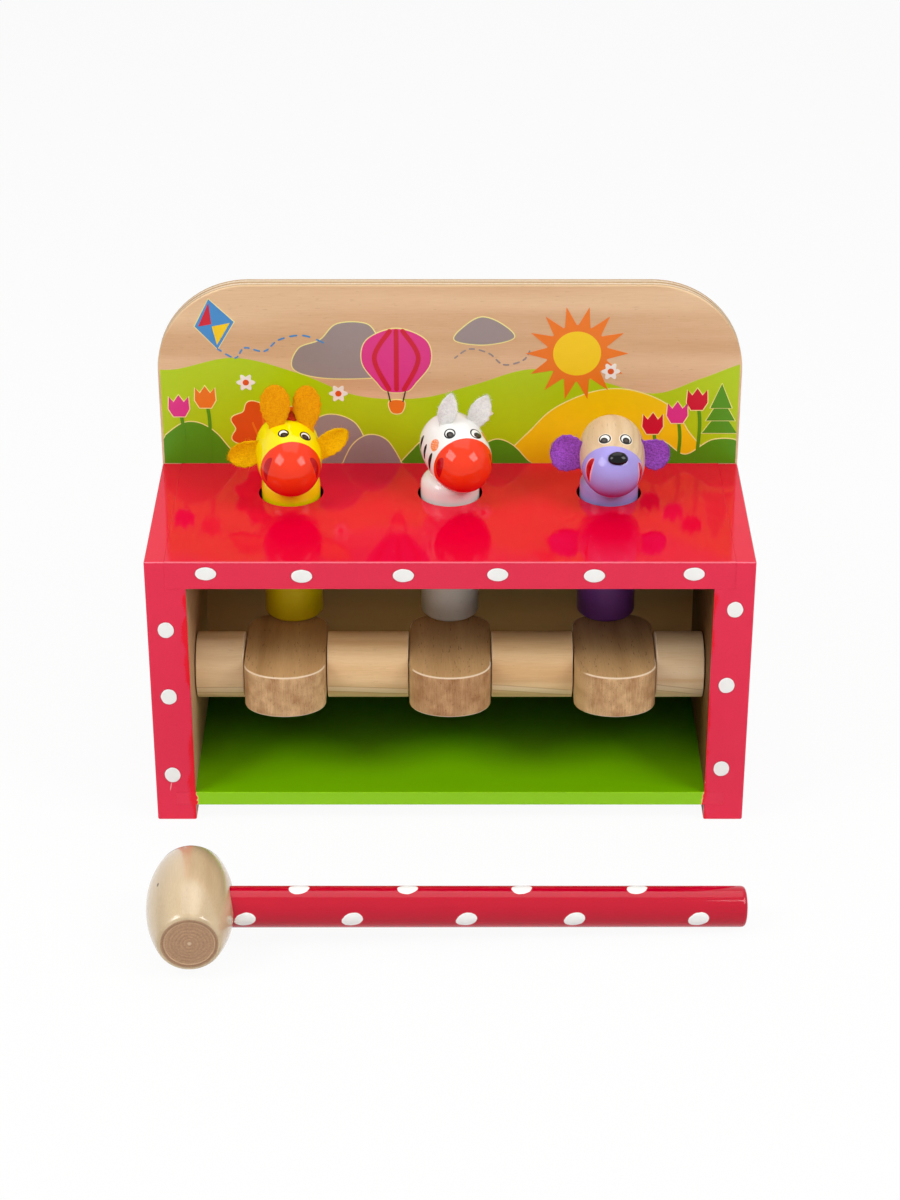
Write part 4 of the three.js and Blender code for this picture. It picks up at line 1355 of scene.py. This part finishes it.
class MakeHeads(bpy.types.Operator):
    """The three painted heads and the dog's glossy nose"""

    bl_idname = "pounding_bench.heads"
    bl_label = "Heads"

    def execute(self, context):
        colours = context.scene.paint_colours
        slots = {"giraffe": "yellow_paint", "zebra": "white_paint", "dog": "dog_head_wood"}
        for animal, slot in slots.items():
            cosine = -np.cos(np.linspace(0, np.pi, 73))
            along = np.where(cosine < 0, EGG_BACK, EGG_FRONT) * cosine
            profile = np.stack([egg_radius(along), along], -1)
            standing = head_matrix(animal) @ Matrix.Rotation(-math.pi / 2, 4, "X")
            head = turned(f"{animal}_head_egg", profile, standing, 96, crease=180)
            settle(head, animal, slot, head_finish(animal, colours), f"{animal}_head")
        finish = Finish("black_lacquer")
        haze = finish.noise(finish.at(), 0.8, 2)
        lacquer = finish.close({
            "Base Color": finish.mix(haze, tint("030303"), tint("0a0909")),
            "Roughness": haze * 0.05 + 0.07,
            "Normal": finish.bump(finish.noise(finish.at(), 0.5, 1) * 0.02),
            "Specular IOR Level": 0.25,
        })
        settle(dog_nose(), "dog", "black_gloss", lacquer, "dog_nose")
        return {"FINISHED"}


def dog_nose():
    """A flattened ball half sunk in the snout: latitude and longitude rings, wider below than above."""
    wide, high, deep = 4.0, 2.8, 2.0
    left, along, slope = 0.0014, 0.0125, 58
    latitude = np.linspace(-np.pi / 2, np.pi / 2, 33)[:, None]
    longitude = np.linspace(0, 2 * np.pi, 48, endpoint=False)
    x = wide * np.cos(latitude) * np.cos(longitude)
    z = high * np.cos(latitude) * np.sin(longitude)
    y = deep * np.sin(latitude) + 0 * longitude
    ball = np.stack([x * (1 + 0.05 * z / high), y, z], -1) * MM
    seat = Matrix.Translation((left, along, -float(egg_radius(along))))
    own = head_matrix("dog") @ seat @ Matrix.Rotation(-math.radians(slope), 4, "X")
    rings = moved(ball, own)
    return skin("dog_nose_bead", rings[1:-1], rings[0, 0], rings[-1, 0], crease=180)


class MakeFelt(bpy.types.Operator):
    """The felt ears, horns and tuft with their loose fibres"""

    bl_idname = "pounding_bench.felt"
    bl_label = "Felt"

    def execute(self, context):
        sizes, colours = context.scene.bench_sizes, context.scene.paint_colours
        cloth = {
            name: felt_finish(slot, tuple(getattr(colours, name)), darkest, brightest)
            for name, (slot, darkest, brightest) in FELT_TONES.items()
        }
        for number, (name, shape) in enumerate(FELTS.items()):
            rings = felt_rings(shape, sizes.felt)
            matrix = felt_matrix(name)
            placed = moved(rings, matrix)
            ends = [ring.mean(0) for ring in (placed[0], placed[-1])]
            piece = skin(f"{name}_felt", placed, ends[0], ends[1], crease=180)
            animal, colour = name.split("_")[0], shape[-1]
            slot = FELT_TONES[colour][0]
            settle(piece, animal, slot, cloth[colour], name)
            hairs = fuzz(f"{name}_fuzz", rings, matrix, sizes.fibres, number)
            settle(hairs, animal, slot, cloth[colour])
            length, width = shape[:2]
            wide, long = max(width, FELT_LEAST) * MM, max(length + FELT_TUCK, FELT_LEAST) * MM
            across, up = np.ptp(rings[..., 0], axis=1), rings[:, 0, 1]
            leaf = float(np.sum((across[1:] + across[:-1]) / 2 * np.diff(up)))
            max(leaf, 0.3 * wide * long)
        return {"FINISHED"}


# The mallet in millimetres and degrees: its turn on the floor, the barrel's half length, greatest radius
# and end radius, and the handle's radius and its end's distance from the barrel's middle
MALLET_YAW = 3.46
BARREL_HALF, BARREL_RADIUS, BARREL_END = 24.3, 16.9, 11.95
HANDLE_RADIUS, HANDLE_REACH = 8, 214


class MakeMallet(bpy.types.Operator):
    """The mallet's barrel head and its dotted handle"""

    bl_idname = "pounding_bench.mallet"
    bl_label = "Mallet"

    def execute(self, context):
        colours = context.scene.paint_colours
        low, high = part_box("mallet_head")
        middle = (low + high) / 2
        stand = Matrix.Translation(middle) @ Matrix.Rotation(math.radians(MALLET_YAW), 4, "Z")
        lying = stand @ Matrix.Rotation(-math.pi / 2, 4, "X")
        half, swell, end = BARREL_HALF, BARREL_RADIUS, BARREL_END
        spread = math.acos(end / swell)
        bend = np.linspace(-spread, spread, 41)
        barrel = np.stack([swell * np.cos(bend), half * np.sin(bend) / math.sin(spread)], -1)
        rim = eased_line([(end - 2.4, half), (end - 0.05, half), (end + 0.8, half - 1.6)], 1.0, 6)[::-1]
        marks = np.linspace(end - 2.6, 0.3, 26)
        face = np.stack([marks, half - 0.12 - 0.05 * np.sin(marks * 4.2)], -1)
        upper = np.vstack([rim, face, [(0, half + 0.12)]])
        lower = (upper * (1, -1))[::-1]
        profile = np.vstack([lower, barrel[1:-1], upper]) * MM
        head = turned("mallet_barrel", profile, lying, 96, crease=30)
        settle(head, "mallet", "mallet_wood", barrel_finish(stand), "mallet_head")
        slope = math.asin((swell - HANDLE_RADIUS) / HANDLE_REACH)
        axis = stand @ Matrix.Rotation(slope, 4, "Y")
        side, reach, start = HANDLE_RADIUS, HANDLE_REACH, 2.9
        corners = [(0, start), (side, start), (side, reach), (side / 2, reach), (0, reach)]
        profile = eased_line(corners, 1.8, 6) * MM
        bar = turned("mallet_bar", profile, axis @ Matrix.Rotation(math.pi / 2, 4, "Y"), 72)
        settle(bar, "mallet", "red_paint", handle_finish(axis, colours), "mallet_handle")
        return {"FINISHED"}


def barrel_finish(stand):
    """Varnished turned wood. Its grain runs along the barrel, and the flat ends show end grain with
    the lathe's rings round the middle."""
    finish = Finish("mallet_barrel_wood")
    grain_turn = (stand @ Matrix.Rotation(math.pi / 2, 4, "Z")).to_euler("XYZ")
    pith = tuple(stand @ Vector((0.02, 0, 0.012)))
    grain = {"turn": tuple(grain_turn), "pith": pith, "ring": 9, "figure": 0.12, "pores": 0.1}
    colour, height = wood(finish, "d9c19a", "a98a5f", **grain)
    local = finish.at(tuple(stand.translation), tuple(stand.to_euler("XYZ")))
    y = finish.axes(local)[1]
    out = finish.length(finish.scaled(local, (1, 0, 1)))
    end = finish.step(abs(y), BARREL_HALF - 0.7, BARREL_HALF - 0.3) * finish.fade(out, 10.7, 11.1)
    place = tuple(stand @ Vector((-0.0118, -0.0022, 0.0122)))
    knot = blob(finish, place, (0, 0, 0), (0.0005, 0.0012, 0.002))
    colour = finish.mix(finish.fade(knot, 0.5, 1.1), colour, tint("4a3018"))
    lathe = (out * 4.6 + finish.noise(local, 0.25, 1) * 5).sine() * 0.5 + 0.5
    fleck = finish.noise(local, 1.6, 3)
    brown = finish.mix(fleck * 0.9 + lathe * 0.18 - 0.1, tint("cda27a"), tint("80583a"))
    groove = finish.fade(abs(out - 10.1), 0.1, 0.4)
    brown = finish.mix(groove * 0.5, brown, tint("6e4a30"))
    brown = finish.mix(finish.fade(abs(out - 9.4), 0.1, 0.35) * 0.4, brown, tint("e0bf98"))
    brown = finish.mix(finish.fade(out, 0.5, 1.1) * 0.6, brown, tint("ecd0ae"))
    return finish.close({
        "Base Color": finish.mix(end, colour, brown),
        "Roughness": 0.3 + end * 0.2,
        "Normal": finish.bump(height * 0.5 + end * (lathe * 0.05 + fleck * 0.05)),
        "Coat Weight": 0.8 - end * 0.6,
        "Coat Roughness": 0.1,
    })


# Rows of dots on the handle: angle round it in degrees from straight up towards the player, and
# distances from the mallet's middle in millimetres
HANDLE_DOTS = (
    (-4, (41.3, 82.9, 126.8, 171.4)),
    (95, (20.8, 61.6, 105.3, 146.9, 194.9)),
    (180, (44, 88, 134, 180)),
    (270, (30, 76, 121, 168)),
)


def handle_finish(axis, colours):
    """Red gloss with rows of white dots. Each dot is an ellipsoid about a point of the surface, slanted
    a little as a brush leaves it."""
    finish = Finish("dotted_handle")
    red, rough, height = gloss(finish, tuple(c * 0.74 for c in colours.red), 0.07, 0.015)
    nearest, slant, size = None, 18, (0.0041, 0.0031, 0.003)
    for turn, places in HANDLE_DOTS:
        for place in places:
            own = axis @ Matrix.Rotation(math.radians(turn), 4, "X")
            own = own @ Matrix.Translation((place * MM, 0, HANDLE_RADIUS * MM))
            own = own @ Matrix.Rotation(math.radians(slant), 4, "Z")
            reach = blob(finish, tuple(own.translation), tuple(own.to_euler("XYZ")), size)
            nearest = reach if nearest is None else nearest & reach
    ragged = finish.noise(finish.at(), 0.5, 2)
    nearest = nearest + (ragged - 0.5) * 0.14
    dot = finish.fade(nearest, 0.96, 1.03)
    dome = finish.fade(nearest, 0.78, 1.05)
    return finish.close({
        "Base Color": finish.mix(dot, red, tuple(colours.dots)),
        "Roughness": rough + dot * 0.05,
        "Normal": finish.bump(height + dome * 0.12),
        "Specular IOR Level": 0.3,
    })


# The camera: focal length and sensor width in millimetres, place in metres and degrees below level. A
# lamp: azimuth from the front and rise in degrees, and its size and distance in metres.
LENS, SENSOR = 86.6, 36
CAMERA_PLACE = (0, -0.98691, 0.6525)
LOOK_DOWN = 28.9
LAMPS = {
    "left_softbox": (-62, 43, 0.46, 1.0),
    "right_softbox": (62, 43, 0.46, 1.0),
    "front": (0, 48, 0.9, 1.3),
    "overhead": (180, 73, 1.1, 1.3),
}
LAMPS_AIM = Vector((0, 0, 0.08))


class MakeStage(bpy.types.Operator):
    """White floor, room light, softboxes and the camera"""

    bl_idname = "pounding_bench.stage"
    bl_label = "Stage"

    def execute(self, context):
        light = context.scene.stage_light
        half, lines, drop = 4, 9, 0.0002
        steps = np.linspace(-half, half, lines)
        x, y = np.meshgrid(steps, steps)
        points = np.stack([x, y, np.full_like(x, -drop)], -1).reshape(-1, 3)
        grid = np.arange(lines ** 2).reshape(lines, lines)
        faces = np.stack([grid[:-1, :-1], grid[:-1, 1:], grid[1:, 1:], grid[1:, :-1]], -1).reshape(-1, 4)
        floor = solid("studio_floor", points, faces.tolist())
        floor.data.materials.append(floor_finish())
        room(context.scene, light.ambient)
        powers = (light.softbox, light.softbox, light.fill, light.overhead)
        for (name, (azimuth, rise, size, reach)), power in zip(LAMPS.items(), powers):
            lamp = bpy.data.lights.new(name, "AREA")
            lamp.shape = "SQUARE"
            lamp.size = size
            lamp.energy = power
            holder = bpy.data.objects.new(name, lamp)
            context.scene.collection.objects.link(holder)
            holder.visible_glossy = name != "front"
            side, up = math.radians(azimuth), math.radians(rise)
            way = Vector((math.sin(side) * math.cos(up), -math.cos(side) * math.cos(up), math.sin(up)))
            holder.location = LAMPS_AIM + way * reach
            holder.rotation_euler = way.to_track_quat("Z", "Y").to_euler()
        camera = bpy.data.cameras.new("camera")
        camera.lens, camera.sensor_width = LENS, SENSOR
        holder = bpy.data.objects.new("camera", camera)
        context.scene.collection.objects.link(holder)
        holder.location = CAMERA_PLACE
        holder.rotation_euler = (math.radians(90 - LOOK_DOWN), 0, 0)
        context.scene.camera = holder
        context.scene.view_settings.view_transform = "Standard"
        return {"FINISHED"}


def seen_rays(finish):
    """1 for rays from the camera, from a mirror or through glass."""
    path = finish.node("LightPath").socket.node
    kinds = ("Camera", "Glossy", "Transmission")
    camera, glossy, clear = (Wire(finish, path.outputs[f"Is {kind} Ray"]) for kind in kinds)
    return camera | glossy | clear


def floor_finish():
    """A white floor that mostly glows to the camera and for the rest is lit, so that it keeps a shadow."""
    finish = Finish("studio_white")
    tree = finish.tree
    paper = finish.noise(finish.at(scale=(1, 1, 1)), 3, 2)
    finish.close({"Base Color": finish.mix(paper, (0.82, 0.82, 0.82), (0.8, 0.8, 0.8)), "Roughness": 0.9})
    glow = finish.node("Emission", sockets={"Color": (1, 1, 1), "Strength": 1.0})
    lit = Wire(finish, tree.nodes["Principled BSDF"].outputs[0])
    both = finish.node("MixShader", sockets={0: seen_rays(finish) * 0.94, 1: lit, 2: glow})
    tree.links.new(both.socket, tree.nodes["Material Output"].inputs["Surface"])
    return finish.owner


def room(scene, ambient):
    """Even room light, and plain white where the camera or a mirror looks past the floor."""
    world = bpy.data.worlds.new("room")
    scene.world = world
    finish = Finish("room", world)
    soft = finish.node("Background", sockets={"Color": (1, 1, 1), "Strength": ambient})
    white = finish.node("Background", sockets={"Color": (1, 1, 1), "Strength": 1.0})
    both = finish.node("MixShader", sockets={0: seen_rays(finish), 1: soft, 2: white})
    finish.tree.links.new(both.socket, finish.tree.nodes["World Output"].inputs["Surface"])


MAKERS = (
    MakeStage, MakeBoards, MakePrint, MakeHardware, MakeLevers, MakeSpacers, MakePegs, MakeHeads, MakeFelt,
    MakeMallet,
)


class BenchPanel(bpy.types.Panel):
    """Lists the makers and the sizes and colours that they use."""

    bl_idname = "VIEW3D_PT_pounding_bench"
    bl_label = "Pounding bench"
    bl_space_type = "VIEW_3D"
    bl_region_type = "UI"
    bl_category = "Pounding bench"

    def draw(self, context):
        for maker in MAKERS:
            self.layout.operator(maker.bl_idname)
        for group in (context.scene.bench_sizes, context.scene.paint_colours, context.scene.stage_light):
            box = self.layout.box()
            for name in group.bl_rna.properties.keys():
                if name not in ("rna_type", "name"):
                    box.prop(group, name)


CLASSES = (BenchSizes, PaintColours, StageLight, *MAKERS, BenchPanel)


def register():
    for cls in CLASSES:
        bpy.utils.register_class(cls)
    bpy.types.Scene.bench_sizes = PointerProperty(type=BenchSizes)
    bpy.types.Scene.paint_colours = PointerProperty(type=PaintColours)
    bpy.types.Scene.stage_light = PointerProperty(type=StageLight)


def unregister():
    del bpy.types.Scene.bench_sizes
    del bpy.types.Scene.paint_colours
    del bpy.types.Scene.stage_light
    for cls in reversed(CLASSES):
        bpy.utils.unregister_class(cls)


def main():
    register()
    makers = bpy.ops.pounding_bench
    makers.stage()
    makers.boards()
    makers.print()
    makers.hardware()
    makers.levers()
    makers.spacers()
    makers.pegs()
    makers.heads()
    makers.felt()
    makers.mallet()


if __name__ == "__main__":
    main()
